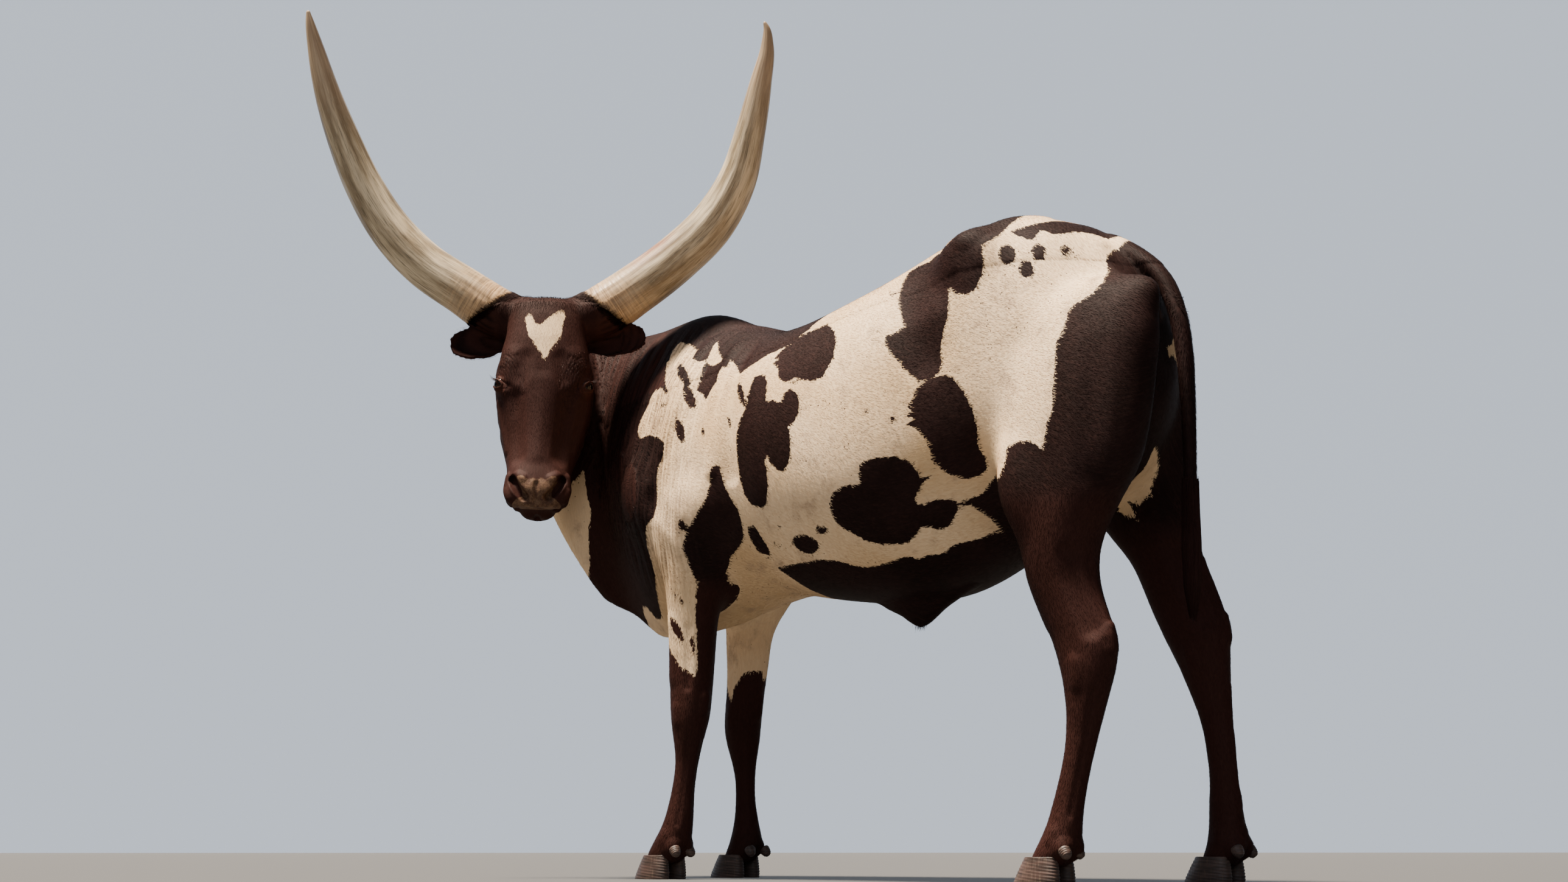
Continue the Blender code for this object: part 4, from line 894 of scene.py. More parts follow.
def leg_forms(points, normals, rows, forms, side, shift):
    """Raise the tendons, grooves and knobs of a leg: each runs between two heights on one
    face of the leg, as far out as the section is there."""
    for top, bottom, facing, reach, lift in forms.values():
        heights = np.linspace(top, bottom, 4)
        heights = heights + shift * np.clip((heights - 0.12) / 0.3, 0.0, 1.0)
        x, y, along, across = leg_axis(rows, heights)
        turn = math.radians(facing)
        path = np.column_stack([x + side * across * math.sin(turn), y - along * math.cos(turn), heights])
        raised(points, normals, path, reach, lift)


def spine_line():
    """The path of the spine on the ground plan, the way ahead at each point, the height of
    the widest level and the distance along it, which is the plain y on the straight back."""
    fine = smooth_rows([(x, y, 0.0, wide) for x, y, wide, *_ in SPINE], 0.01)
    ahead = np.gradient(fine[:, :2], axis=0)
    ahead /= np.linalg.norm(ahead, axis=1)[:, None]
    run = np.concatenate(([0.0], np.cumsum(np.linalg.norm(np.diff(fine[:, :2], axis=0), axis=1))))
    return fine[:, :2], ahead, fine[:, 3], SPINE[0][1] - run


def barrel_chart(points):
    """Along and round the barrel and neck: metres along the spine, and 0.30 times the angle
    from the top of the back, plus on the left side and minus on the right."""
    path, ahead, level, run = spine_line()
    nearest = np.empty(len(points), dtype=int)
    for start in range(0, len(points), 20000):
        part = points[start:start + 20000, None, :2] - path[None]
        nearest[start:start + 20000] = (part ** 2).sum(axis=2).argmin(axis=1)
    off = points[:, :2] - path[nearest]
    way = ahead[nearest]
    forward = (off * way).sum(axis=1)
    lateral = off[:, 1] * way[:, 0] - off[:, 0] * way[:, 1]
    turn = np.arctan2(lateral, points[:, 2] - level[nearest])
    return run[nearest] - forward, 0.30 * turn


def between(value, low, high):
    """0 below low, 1 above high, eased between."""
    t = np.clip((value - low) / (high - low), 0.0, 1.0)
    return t * t * (3.0 - 2.0 * t)


def fold_share(points):
    """Where the neck and the shoulder are wrinkled: full on the sides of the neck, fading
    over the shoulder blade, nothing on the head, the barrel and the legs."""
    along, round_it = barrel_chart(points)
    share = between(-along, 0.20, 0.50) * between(np.abs(round_it), 0.02, 0.09)
    share = share * (1.0 - between(np.abs(round_it), 0.74, 0.86)) * between(points[:, 2], 0.62, 0.76)
    left, down, out = in_head(points).T
    face = 1.0 - between(np.abs(left), 0.12, 0.15)
    face = face * between(out, -0.27, -0.22) * between(down, -0.06, 0.0)
    return share * (1.0 - np.clip(face, 0.0, 1.0))


def eye_away(points):
    """How far each point of the head is from the nearer eye, seen from the front of the
    face, and how far round it, counted from the middle of the face up to the poll."""
    left, down, out = in_head(points).T
    side, low, deep = EYE_PLACE
    across = (side + 0.012) - np.abs(left) + 0.35 * (out - deep)
    above = low - down
    return np.hypot(across, above), np.arctan2(above, across)


def brow_share(points):
    """Where the brow is wrinkled: a ring round each eye, full above it and on the side of
    the nose, nothing behind it and on the jaw."""
    far, turn = eye_away(points)
    left, down, out = in_head(points).T
    ring = between(far, 0.026, 0.038) * (1.0 - between(far, 0.066, 0.092))
    sector = between(turn, -1.15, -0.55) * (1.0 - between(turn, 1.7, 2.3))
    front = between(out, -0.075, -0.045) * (1.0 - between(out, 0.10, 0.12))
    front = front * between(np.abs(left), 0.018, 0.038)
    return ring * sector * front * (down > 0.06) * (down < 0.40)


def fold_depth(points):
    """Upright folds of the neck: a squared cosine wave along the spine, bent by slower
    waves round the neck, sunk by up to a few millimetres."""
    along, round_it = barrel_chart(points)
    bent = along + 0.016 * np.sin(9.0 * round_it + 5.0 * along) + 0.10 * round_it
    wave = (0.5 + 0.5 * np.cos(2.0 * math.pi * bent / 0.034)) ** 2
    second = (0.5 + 0.5 * np.cos(2.0 * math.pi * (bent + 0.3 * round_it) / 0.079)) ** 2
    return -fold_share(points) * (0.0022 * wave + 0.0026 * second)


def body_skin():
    """The body melted from the same masses as the solids, then shaped by the strokes."""
    masses = [spine_mass(), head_mass(FACE, 0.012), head_mass(LOWER_JAW, 0.012)]
    masses += [upright_mass(rows) for rows in (HIND_LEFT, HIND_RIGHT, FORE_LEFT, FORE_RIGHT, SHEATH)]
    points, quads = melted("body_mass", masses, BODY_GRAIN)
    passes = int(round(9 * (0.012 / BODY_GRAIN) ** 2))
    points = relaxed(points, edge_pairs(quads), passes, 0.5)
    return shaped(points), quads


def eye_frame(side):
    """Middle of an eyeball and its axes, in the animal's axes: the way it looks, towards
    the front corner of its lids, and up over the eye."""
    left, down, out = EYE_PLACE
    middle = on_head((left * side, down, out))
    look = EYE_LOOK * mirror(side)
    look = look / np.linalg.norm(look) @ HEAD_AXES
    slant, level = math.sin(LID_SLANT), math.cos(LID_SLANT)
    front = np.array((-side * level * 0.75, slant, level * 0.66)) @ HEAD_AXES
    front = front - look * front.dot(look)
    front /= np.linalg.norm(front)
    over = np.cross(look, front) * side
    if over.dot(HEAD_AXES[1]) > 0.0:
        over = -over
    return middle, look, front, over


def lidded(points, side):
    """Draw the skin over an eyeball: near it the skin lies on a sphere a little larger
    than the ball, rolled up into an upper and a lower lid, and inside the almond between
    them it sinks behind the ball's face."""
    middle, look, front, over = eye_frame(side)
    away = points - middle
    far = np.linalg.norm(away, axis=1)
    near = np.flatnonzero((far < 0.052) & (away @ look > -0.018))
    away, far = away[near], far[near]
    unit = away / far[:, None]
    ahead, sideways, rise = unit @ look, unit @ front, unit @ over
    aside = np.hypot(sideways, rise)
    turned = np.arctan2(aside, ahead)
    across = turned * (sideways / np.maximum(aside, 1e-9))
    above = turned * (rise / np.maximum(aside, 1e-9))
    half = LID_HEIGHT * np.where(above > 0.0, 1.0, 0.78)
    almond = np.sqrt((across / LID_LENGTH) ** 2 + (above / half) ** 2)
    lid = EYE_RADIUS + LID_DEPTH * (1.0 + 0.35 * np.exp(-((almond - 1.12) / 0.10) ** 2))
    crease = np.exp(-((almond - 1.62) / 0.13) ** 2) * np.where(above > 0.0, 0.0032, 0.0016)
    blend = np.clip((1.45 - turned) / 0.45, 0.0, 1.0)
    blend = blend * blend * (3.0 - 2.0 * blend)
    outer = np.maximum(far, lid) * (1.0 - blend) + lid * blend - crease
    inner = np.clip((almond - 0.90) / 0.14, 0.0, 1.0)
    inner = inner * inner * (3.0 - 2.0 * inner)
    radius = np.where(almond < 1.04, EYE_RADIUS * 0.80 + (outer - EYE_RADIUS * 0.80) * inner, outer)
    points[near] = middle + unit * radius[:, None]


def nostrils(points):
    """Sink both nostrils: a comma-shaped path down which the skin is pushed in, with the
    steepest part of the wall at its edge."""
    for side in (1.0, -1.0):
        path = on_head(NOSTRIL * mirror(side))
        far = distance_to_path(points, path)
        near = np.flatnonzero(far < NOSTRIL_REACH * 1.3)
        inside = 1.0 / (1.0 + np.exp((far[near] / NOSTRIL_REACH - 0.62) * 11.0))
        way = HEAD_AXES.T @ np.array((-side * 0.10, -0.45, -0.88))
        points[near] += way * (NOSTRIL_DEPTH * inside)[:, None]


def fine_faces(points, quads, near_head):
    """Split the quads of the head once, and those around eyes, nostrils and mouth twice,
    so that the fine forms have facets to stand on. Returns points and triangles."""
    shape = bpy.data.meshes.new("refined")
    shape.from_pydata(points.tolist(), [], quads.tolist())
    edit = bmesh.new()
    edit.from_mesh(shape)
    bpy.data.meshes.remove(shape)
    for spots, cuts in near_head:
        edit.verts.ensure_lookup_table()
        place = np.array([vertex.co[:] for vertex in edit.verts])
        chosen = spots(place)
        edges = [edge for edge in edit.edges if all(chosen[end.index] for end in edge.verts)]
        bmesh.ops.subdivide_edges(edit, edges=edges, cuts=cuts, use_grid_fill=True, smooth=0.0)
        edit.verts.index_update()
    bmesh.ops.triangulate(edit, faces=edit.faces)
    edit.verts.index_update()
    place = np.array([vertex.co[:] for vertex in edit.verts])
    corners = np.array([[vertex.index for vertex in face.verts] for face in edit.faces])
    edit.free()
    return place, corners


def head_region(points):
    """Which points belong to the head: inside its box, in front of the neck."""
    left, down, out = in_head(points).T
    return (np.abs(left) < 0.135) & (down > -0.05) & (down < 0.60) & (out > -0.27) & (out < 0.10)


def detail_region(points):
    """Which points lie by an eye, a nostril or the mouth."""
    near = np.zeros(len(points), dtype=bool)
    for side in (1.0, -1.0):
        near |= np.linalg.norm(points - on_head(EYE_PLACE * mirror(side)), axis=1) < 0.040
        near |= distance_to_path(points, on_head(NOSTRIL * mirror(side))) < 0.018
        near |= distance_to_path(points, on_head(HEAD_FORMS["mouth"][0] * mirror(side))) < 0.010
    return near


def whole_skin():
    """Points and triangles of the hide, from the lips to the tip of the tail."""
    body, body_quads = body_skin()
    masses = [(body, body_quads), head_mass(FACE, 0.006), head_mass(LOWER_JAW, 0.006)]
    masses += [ear_rings(EAR_LEFT, 1.0), ear_rings(EAR_RIGHT, -1.0)]
    masses += [collar_rings(HORN_LEFT, 1.0), collar_rings(HORN_RIGHT, -1.0)]
    masses.append(tube_rings(TAIL_RUN, 24, 0.01))
    points, quads = melted("skin_mass", masses, GRAIN)
    pairs = edge_pairs(quads)
    left, down, out = in_head(points).T
    on_ear = np.clip((np.abs(left) - 0.125) / 0.02, 0.0, 1.0) * (down < 0.25)
    face = np.clip((out + 0.20) / 0.06, 0.0, 1.0)
    face = face * np.clip(1.0 - (np.abs(left) - 0.11) / 0.03, 0.0, 1.0)
    face = face * ((down > 0.0) & (down < 0.62) & (out < 0.15))
    weight = 0.5 * (1.0 - 0.45 * on_ear) * (1.0 - 0.55 * face)
    points = relaxed(points, pairs, 14, weight[:, None])
    normals = point_normals(points, quads)
    inset = BODY_INSET + (HEAD_INSET - BODY_INSET) * np.maximum(face, on_ear)
    points -= normals * inset[:, None]
    for path, reach, lift in PAIRED_FORMS.values():
        for side in (1.0, -1.0):
            raised(points, normals, path * mirror(side), reach, lift)
    for path, reach, lift in SINGLE_FORMS.values():
        raised(points, normals, path, reach, lift)
    points += normals * (fold_depth(points))[:, None]
    for _, knob, apart, high in FEET.values():
        for sideways in (apart[0], -apart[1]):
            x = knob[0] + math.copysign(sideways, sideways * knob[0])
            place = (x, knob[1] + SEAT_SHIFT[0], high + SEAT_SHIFT[1])
            raised(points, normals, [place], SEAT_REACH, SEAT_LIFT)
    leg_forms(points, normals, FORE_LEFT, FORE_FORMS, 1.0, 0.0)
    leg_forms(points, normals, FORE_RIGHT, FORE_FORMS, -1.0, 0.012)
    leg_forms(points, normals, HIND_LEFT, HIND_FORMS, 1.0, 0.0)
    leg_forms(points, normals, HIND_RIGHT, HIND_FORMS, -1.0, 0.045)
    points, corners = fine_faces(points, quads, [(head_region, 1), (detail_region, 1)])
    normals = point_normals(points, corners)
    for path, reach, lift in HEAD_FORMS.values():
        for side in (1.0, -1.0):
            raised(points, normals, on_head(path * mirror(side)), reach, lift)
    for number in range(BROW_FOLDS):
        path = np.array(BROW_FOLD) + number * np.array(BROW_STEP)
        for side in (1.0, -1.0):
            raised(points, normals, on_head(path * mirror(side)), BROW_REACH, BROW_LIFT)
    nostrils(points)
    for side in (1.0, -1.0):
        lidded(points, side)
    return points, corners


def thinned(points, corners):
    """The skin with its flat stretches told in fewer triangles."""
    thing = mesh_object("skin_dense", points, corners.tolist())
    thin = thing.modifiers.new("thin", "DECIMATE")
    thin.ratio = min(1.0, SKIN_TRIANGLES / len(corners))
    thin.use_collapse_triangulate = True
    found, corners, _ = read_mesh(thing)
    return found, corners.reshape(-1, 3)


def outline_depth(u, v, outline):
    """How far inside a closed outline each point lies, minus when outside: the distance to
    its nearest side, and the sign from counting the sides crossed on a level line."""
    shape = np.array(outline, dtype=float) * 0.001
    margin = 0.032
    near = np.flatnonzero((u > shape[:, 0].min() - margin) & (u < shape[:, 0].max() + margin)
                          & (v > shape[:, 1].min() - margin) & (v < shape[:, 1].max() + margin))
    depth = np.full(len(u), -margin)
    if len(near):
        at = np.column_stack([u[near], v[near]])
        best = np.full(len(near), 9.0)
        crossed = np.zeros(len(near), dtype=bool)
        for start, end in zip(shape, np.roll(shape, -1, axis=0)):
            run = end - start
            t = np.clip((at - start) @ run / max(run.dot(run), 1e-12), 0.0, 1.0)
            best = np.minimum(best, np.linalg.norm(at - (start + t[:, None] * run), axis=1))
            if start[1] != end[1]:
                spans = (start[1] > at[:, 1]) != (end[1] > at[:, 1])
                crossing = start[0] + run[0] * (at[:, 1] - start[1]) / run[1]
                crossed ^= spans & (at[:, 0] < crossing)
        depth[near] = np.where(crossed, best, -best)
    return depth


def spot_depth(u, v, spot):
    """Depth inside an oval spot: one less the distance counted in half sizes, times the
    smaller half size."""
    middle_u, middle_v, long_half, short_half = (value * 0.001 for value in spot[:4])
    turn = math.radians(spot[4])
    along = (u - middle_u) * math.cos(turn) + (v - middle_v) * math.sin(turn)
    across = (v - middle_v) * math.cos(turn) - (u - middle_u) * math.sin(turn)
    return (1.0 - np.hypot(along / long_half, across / short_half)) * short_half


def leg_chart(points, rows, side):
    """Round and up a leg: 0.05 times the angle from straight ahead round the outer side,
    and the height; and how many half sizes each point is away from the leg's axis."""
    x, y, along, across = leg_axis(rows, points[:, 2])
    off_x, off_y = points[:, 0] - x, points[:, 1] - y
    turn = np.arctan2(side * off_x, -off_y)
    return 0.05 * turn, points[:, 2], np.hypot(off_x / across, off_y / along)


LEGS = {
    "fore_left": (FORE_LEFT, 1.0, 0.66, 0.72),
    "fore_right": (FORE_RIGHT, -1.0, 0.66, 0.72),
    "hind_left": (HIND_LEFT, 1.0, 0.74, 0.82),
    "hind_right": (HIND_RIGHT, -1.0, 0.70, 0.80),
}


def regions(points):
    """How much each point belongs to the head, an ear, the tail and each leg, 0 to 1."""
    left, down, out = in_head(points).T
    ahead_of_neck = between(out, -0.275, -0.235 + 0.04 * between(down, 0.28, 0.45))
    box = (np.abs(left) < 0.135) & (down > -0.06) & (down < 0.60)
    share = {"head": np.where(box, ahead_of_neck, 0.0)}
    reach = (np.abs(left) > 0.120) & (np.abs(left) < 0.30) & (down > -0.04) & (down < 0.22)
    share["ear"] = np.where(reach & (out > -0.17) & (out < 0.06), between(np.abs(left), 0.120, 0.135), 0.0)
    run = np.array(TAIL_RUN)[:, :3]
    far = distance_to_path(points, run[4:])
    share["tail"] = np.where(points[:, 1] > 0.835, 1.0 - between(far, 0.030, 0.040), 0.0)
    for name, (rows, side, low, high) in LEGS.items():
        _, _, away = leg_chart(points, rows, side)
        own_side = between(side * points[:, 0], 0.055, 0.085)
        share[name] = own_side * (1.0 - between(points[:, 2], low, high)) * (1.0 - between(away, 1.20, 1.50))
    return share


def right_side(along, round_it):
    """The chart of the right side bent a little, so that its markings differ: nothing on
    the middle lines of back and belly, most in between."""
    bend = np.sin(math.pi * np.clip(np.abs(round_it) / 0.9425, 0.0, 1.0)) ** 2
    shifted = along * (1.0 - 0.06 * bend) + bend * (0.055 * np.sin(6.0 * along + 1.0) - 0.045)
    return shifted, np.abs(round_it) + bend * 0.045 * np.cos(7.0 * along + 0.6)


SURE = 0.03                           # depths past this from an edge count no further


def dark_depth(points, share):
    """Depth of every point inside the dark coat, in metres: plus dark, minus light. Dark
    patches take the greater of two depths, light ones the smaller."""
    along, round_it = barrel_chart(points)
    right = round_it < 0.0
    bent_along, bent_round = right_side(along, round_it)
    u = np.where(right, bent_along, along)
    v = np.where(right, bent_round, round_it)
    depth = np.full(len(points), -SURE)
    for outline in DARK_PATCHES.values():
        depth = np.maximum(depth, outline_depth(u, v, outline))
    for spot in DARK_SPOTS.values():
        depth = np.maximum(depth, spot_depth(u, v, spot))
    for outline in LIGHT_PATCHES.values():
        depth = np.minimum(depth, -outline_depth(u, v, outline))
    whites = {"fore_left": FORE_LEFT_WHITE, "fore_right": FORE_RIGHT_WHITE}
    for name, (rows, side, _, _) in LEGS.items():
        around, height, _ = leg_chart(points, rows, side)
        own = np.full(len(points), SURE)
        if name in whites:
            own = np.minimum(own, -outline_depth(around, height, whites[name]))
        if name == "fore_left":
            for spot in FORE_SPOTS.values():
                own = np.maximum(own, spot_depth(around, height, spot))
        depth = depth * (1.0 - share[name]) + own * share[name]
        if name == "hind_right":
            inner = (points[:, 0] < -0.02) & (height > 0.70)
            depth = np.where(inner, np.minimum(depth, -outline_depth(around, height, THIGH_WHITE)), depth)
    left, down, out = in_head(points).T
    face = np.where(out > -0.06, -outline_depth(left, down, HEART), SURE)
    depth = depth * (1.0 - share["head"]) + np.minimum(face, SURE) * share["head"]
    solid = np.maximum(share["ear"], share["tail"])
    depth = depth * (1.0 - solid) + SURE * solid
    collar = (np.abs(left) > 0.06) & (down < 0.10) & (down > -0.16) & (out > -0.24) & (np.abs(left) < 0.22)
    depth = np.where(collar, SURE, depth)
    sheath = np.hypot(points[:, 0] / 0.09, (points[:, 1] - 0.15) / 0.19) < 1.0
    depth = np.where(sheath & (points[:, 2] < 0.68), SURE, depth)
    return np.clip(depth, -SURE, SURE)


def bare_share(points):
    """The hairless muzzle between the nostrils, down to the edge of the lip."""
    left, down, out = in_head(points).T
    half = 0.048 - 0.014 * between(down, 0.480, 0.515) + 0.026 * between(down, 0.520, 0.548)
    top = 0.486 - 0.010 * between(np.abs(left), 0.018, 0.040)
    pad = between(down, top - 0.004, top + 0.010) * (1.0 - between(np.abs(left), half - 0.005, half + 0.007))
    return pad * between(out, -0.048, -0.036) * (1.0 - between(down, 0.553, 0.559))


def hollow_share(points):
    """How deep in a nostril a point lies."""
    share = np.zeros(len(points))
    for side in (1.0, -1.0):
        far = distance_to_path(points, on_head(NOSTRIL * mirror(side)))
        share = np.maximum(share, 1.0 - between(far, 0.007, 0.0145))
    return share


def lid_share(points):
    """How near a point is to the rim of the eyelids and to the tear mark below them."""
    share = np.zeros(len(points))
    for side in (1.0, -1.0):
        middle, look, front, over = eye_frame(side)
        far = np.linalg.norm(points - middle - look * 0.012, axis=1)
        tear = np.linalg.norm(points - middle - look * 0.012 - front * 0.026 + over * 0.008, axis=1)
        share = np.maximum(share, 1.0 - between(far, 0.018, 0.036))
        share = np.maximum(share, 1.0 - between(tear, 0.004, 0.016))
    return share


def crease_chart(points):
    """Two lengths in metres that the wrinkles go by at each point: across them and along
    them. On the head they ring the eyes, elsewhere they hang from the spine."""
    along, round_it = barrel_chart(points)
    far, turn = eye_away(points)
    rings = np.column_stack([far * 1.9, turn * 0.07])
    hanging = np.column_stack([along + 0.10 * np.abs(round_it), round_it])
    share = brow_share(points)[:, None] > 0.0
    return np.where(share, rings, hanging), fold_share(points) + brow_share(points)


WRINKLE_SPACING = 0.0145


def wrinkles(chart, share):
    """The grooves between the folds of the hide: the third power of a wave across them,
    bent by slower waves and coming and going along them. Returns how deep each place lies
    in a groove, 0 to 1, and how fast that grows across it, for each metre."""
    across, along = chart[:, 0], chart[:, 1]
    bend = 0.9 * np.sin(along / 0.047 + across / 0.060)
    bend = bend + 0.6 * np.sin(along / 0.019 - across / 0.034 + 1.7)
    phase = 2.0 * math.pi * across / WRINKLE_SPACING + bend
    wave = 0.5 + 0.5 * np.cos(phase)
    here = share * (0.80 + 0.20 * np.sin(along / 0.055 + across / 0.021))
    slope = -here * 3.0 * wave ** 2 * 0.5 * np.sin(phase) * 2.0 * math.pi / WRINKLE_SPACING
    return here * wave ** 3, slope


def lie_charts(points, corners, share):
    """For each face the chart it takes its hair from, and for each corner two lengths in
    metres: across the hairs and along them."""
    along, round_it = barrel_chart(points)
    left, down, out = in_head(points).T
    charts = [np.column_stack([round_it * 0.92 - along * 0.40, along * 0.92 + round_it * 0.40]),
              np.column_stack([np.arctan2(left, out + 0.12) * 0.11, down])]
    periods = [2.0 * math.pi * 0.30, 2.0 * math.pi * 0.11]
    strength = [np.full(len(points), 0.45), share["head"]]
    ear_across = out + 0.3 * down
    charts.append(np.column_stack([ear_across, np.abs(left)]))
    periods.append(0.0)
    strength.append(share["ear"])
    tail_turn = np.arctan2(points[:, 0] - 0.014, points[:, 1] - 0.88)
    charts.append(np.column_stack([tail_turn * 0.02, -points[:, 2]]))
    periods.append(2.0 * math.pi * 0.02)
    strength.append(share["tail"])
    for name, (rows, side, _, _) in LEGS.items():
        around, height, _ = leg_chart(points, rows, side)
        charts.append(np.column_stack([around, -height]))
        periods.append(2.0 * math.pi * 0.05)
        strength.append(share[name])
    chosen = np.stack(strength)[:, corners].mean(axis=2).argmax(axis=0)
    stacked = np.stack(charts)
    lie = stacked[chosen[:, None], corners]
    period = np.array(periods)[chosen]
    first = lie[:, :, 0]
    wrapped = (period[:, None] > 0.0) & (first.max(axis=1)[:, None] - first > 0.5 * period[:, None])
    lie[:, :, 0] = first + np.where(wrapped, period[:, None], 0.0)
    return chosen, lie


# Where each chart lies in the unwrap that the tufts are put on: its corner, and how much
# of the square one metre takes.
UNWRAP_SCALE = 0.25
HALF_PATCH = 0.0015                   # half of the patch that one tuft takes there
UNWRAP_CORNERS = [(0.33, 0.45), (0.80, 0.03), (0.95, 0.06), (0.975, 0.60),
                  (0.75, 0.45), (0.87, 0.45), (0.75, 0.70), (0.87, 0.70)]


def unwrapped(chosen, places):
    """Places on the unwrap of the skin from places on its charts."""
    corner = np.array(UNWRAP_CORNERS)[chosen]
    return np.clip(corner + places * UNWRAP_SCALE, 0.003, 0.997)


# The short coat: for each region how many tufts stand on a square metre, their length and
# width and how far the tips stand off the hide. Lengths in metres.
TUFTS = {
    "body": (82000, 0.0100, 0.0010, 0.0007),
    "head": (150000, 0.0074, 0.0007, 0.0004),
    "ear": (150000, 0.0064, 0.0007, 0.0004),
    "leg": (72000, 0.0098, 0.0011, 0.0008),
    "foot": (95000, 0.0085, 0.0010, 0.0010),
    "tail": (90000, 0.0160, 0.0011, 0.0018),
}
TUFTS_IN_A_PIECE = 96000
EDGE_STRAY = 0.0014                   # how far tufts of one colour stray over an edge
WRINKLE_DEPTH = 0.0021                # how far the shading of the tufts lets a wrinkle sink


def face_ways(points, corners, lie):
    """For each face its area and the way the hairs run over it: the way in which the second
    chart length grows while the first stays the same."""
    first = points[corners[:, 1]] - points[corners[:, 0]]
    second = points[corners[:, 2]] - points[corners[:, 0]]
    cross = np.cross(first, second)
    size = np.linalg.norm(cross, axis=1)
    outward = cross / np.maximum(size, 1e-15)[:, None]
    across_first = (lie[:, 1, 0] - lie[:, 0, 0])[:, None]
    across_second = (lie[:, 2, 0] - lie[:, 0, 0])[:, None]
    along_first = (lie[:, 1, 1] - lie[:, 0, 1])[:, None]
    along_second = (lie[:, 2, 1] - lie[:, 0, 1])[:, None]
    turned = np.sign(across_first * along_second - across_second * along_first)
    way = (second * across_first - first * across_second) * turned
    way -= outward * (way * outward).sum(axis=1)[:, None]
    way /= np.maximum(np.linalg.norm(way, axis=1), 1e-15)[:, None]
    return 0.5 * size, way


def growth(points, corners, values):
    """For each face the direction in which a value of the points grows, as long as it
    grows fast."""
    first = points[corners[:, 1]] - points[corners[:, 0]]
    second = points[corners[:, 2]] - points[corners[:, 0]]
    cross = np.cross(first, second)
    size = np.maximum(np.linalg.norm(cross, axis=1), 1e-15)[:, None]
    outward = cross / size
    rise_first = (values[corners[:, 1]] - values[corners[:, 0]])[:, None]
    rise_second = (values[corners[:, 2]] - values[corners[:, 0]])[:, None]
    return (rise_first * np.cross(second, outward) + rise_second * np.cross(outward, first)) / size


def scattered(area, density, chance):
    """Random places on the faces, so many to a square metre: the face of each place and
    its three shares of the face's corners."""
    expected = area * density
    count = np.floor(expected).astype(int) + (chance.random(len(area)) < expected % 1.0)
    face = np.repeat(np.arange(len(area)), count)
    a, b = chance.random(len(face)), chance.random(len(face))
    over = a + b > 1.0
    a[over], b[over] = 1.0 - a[over], 1.0 - b[over]
    return face, np.column_stack([1.0 - a - b, a, b])


def kites(root, outward, way, length, width, lift, chance):
    """Thin tufts, each a bent kite of four points: root, right, tip and left. The tip lies
    a length along the way and stands off by the lift, both a little at random."""
    total = len(root)
    side = np.cross(outward, way)
    swing = chance.normal(0.0, 0.16, total)[:, None]
    way = way * np.cos(swing) + side * np.sin(swing)
    side = np.cross(outward, way)
    roll = chance.normal(0.0, 0.10, total)[:, None]
    side = side * np.cos(roll) + outward * np.sin(roll)
    length = (length * chance.uniform(0.70, 1.18, total))[:, None]
    lift = (lift * chance.uniform(0.35, 1.25, total))[:, None]
    half = (0.5 * width * chance.uniform(0.75, 1.25, total))[:, None]
    middle = root + way * length * 0.45 + outward * lift * 0.80
    tip = root + way * length + outward * lift
    base = root - outward * 0.0007
    return np.stack([base, middle + side * half, tip, middle - side * half], axis=1)


def mesh_from(name, points, corners, columns, maps, material, facing=None):
    """A piece from arrays: points, triangles, one number per point for each named column
    and two per corner for each named map; and if given, the way each point is shaded."""
    shape = bpy.data.meshes.new(name)
    shape.vertices.add(len(points))
    shape.vertices.foreach_set("co", (points - MIDDLE).astype(np.float32).ravel())
    shape.loops.add(corners.size)
    shape.loops.foreach_set("vertex_index", corners.astype(np.int32).ravel())
    shape.polygons.add(len(corners))
    width = corners.shape[1]
    shape.polygons.foreach_set("loop_start", np.arange(0, corners.size, width, dtype=np.int32))
    shape.update(calc_edges=True)
    give_numbers(shape, columns)
    for name_of_map, places in maps.items():
        layer = shape.uv_layers.new(name=name_of_map)
        layer.data.foreach_set("uv", places.astype(np.float32).ravel())
    shade_smooth(shape)
    shape.materials.append(material)
    shape.validate()
    if facing is not None:
        shape.normals_split_custom_set_from_vertices(facing.astype(np.float32))
    made = bpy.data.objects.new(name, shape)
    bpy.context.scene.collection.objects.link(made)
    return made


def strand_tubes(paths, radius):
    """Long hairs: ribbons along paths of equal length. Paths is an array of hairs by steps
    by three; the ribbon narrows to its tip. Returns points and triangles."""
    hairs, steps, _ = paths.shape
    ahead = np.gradient(paths, axis=1)
    ahead /= np.maximum(np.linalg.norm(ahead, axis=2), 1e-12)[..., None]
    guide = np.cross(ahead[:, :1], np.array((0.31, 0.52, 0.79)))
    side = np.cross(ahead, np.cross(guide, ahead))
    side /= np.maximum(np.linalg.norm(side, axis=2), 1e-12)[..., None]
    narrow = (1.0 - 0.85 * np.linspace(0.0, 1.0, steps) ** 1.5)[None, :, None]
    half = np.asarray(radius).reshape(-1, 1, 1) * narrow
    points = np.stack([paths - side * half, paths + side * half], axis=2).reshape(-1, 3)
    base = (np.arange(hairs) * steps * 2)[:, None] + (np.arange(steps - 1) * 2)[None, :]
    base = base.ravel()[:, None]
    triangles = np.concatenate([base + np.array((0, 1, 3)), base + np.array((0, 3, 2))])
    return points, triangles


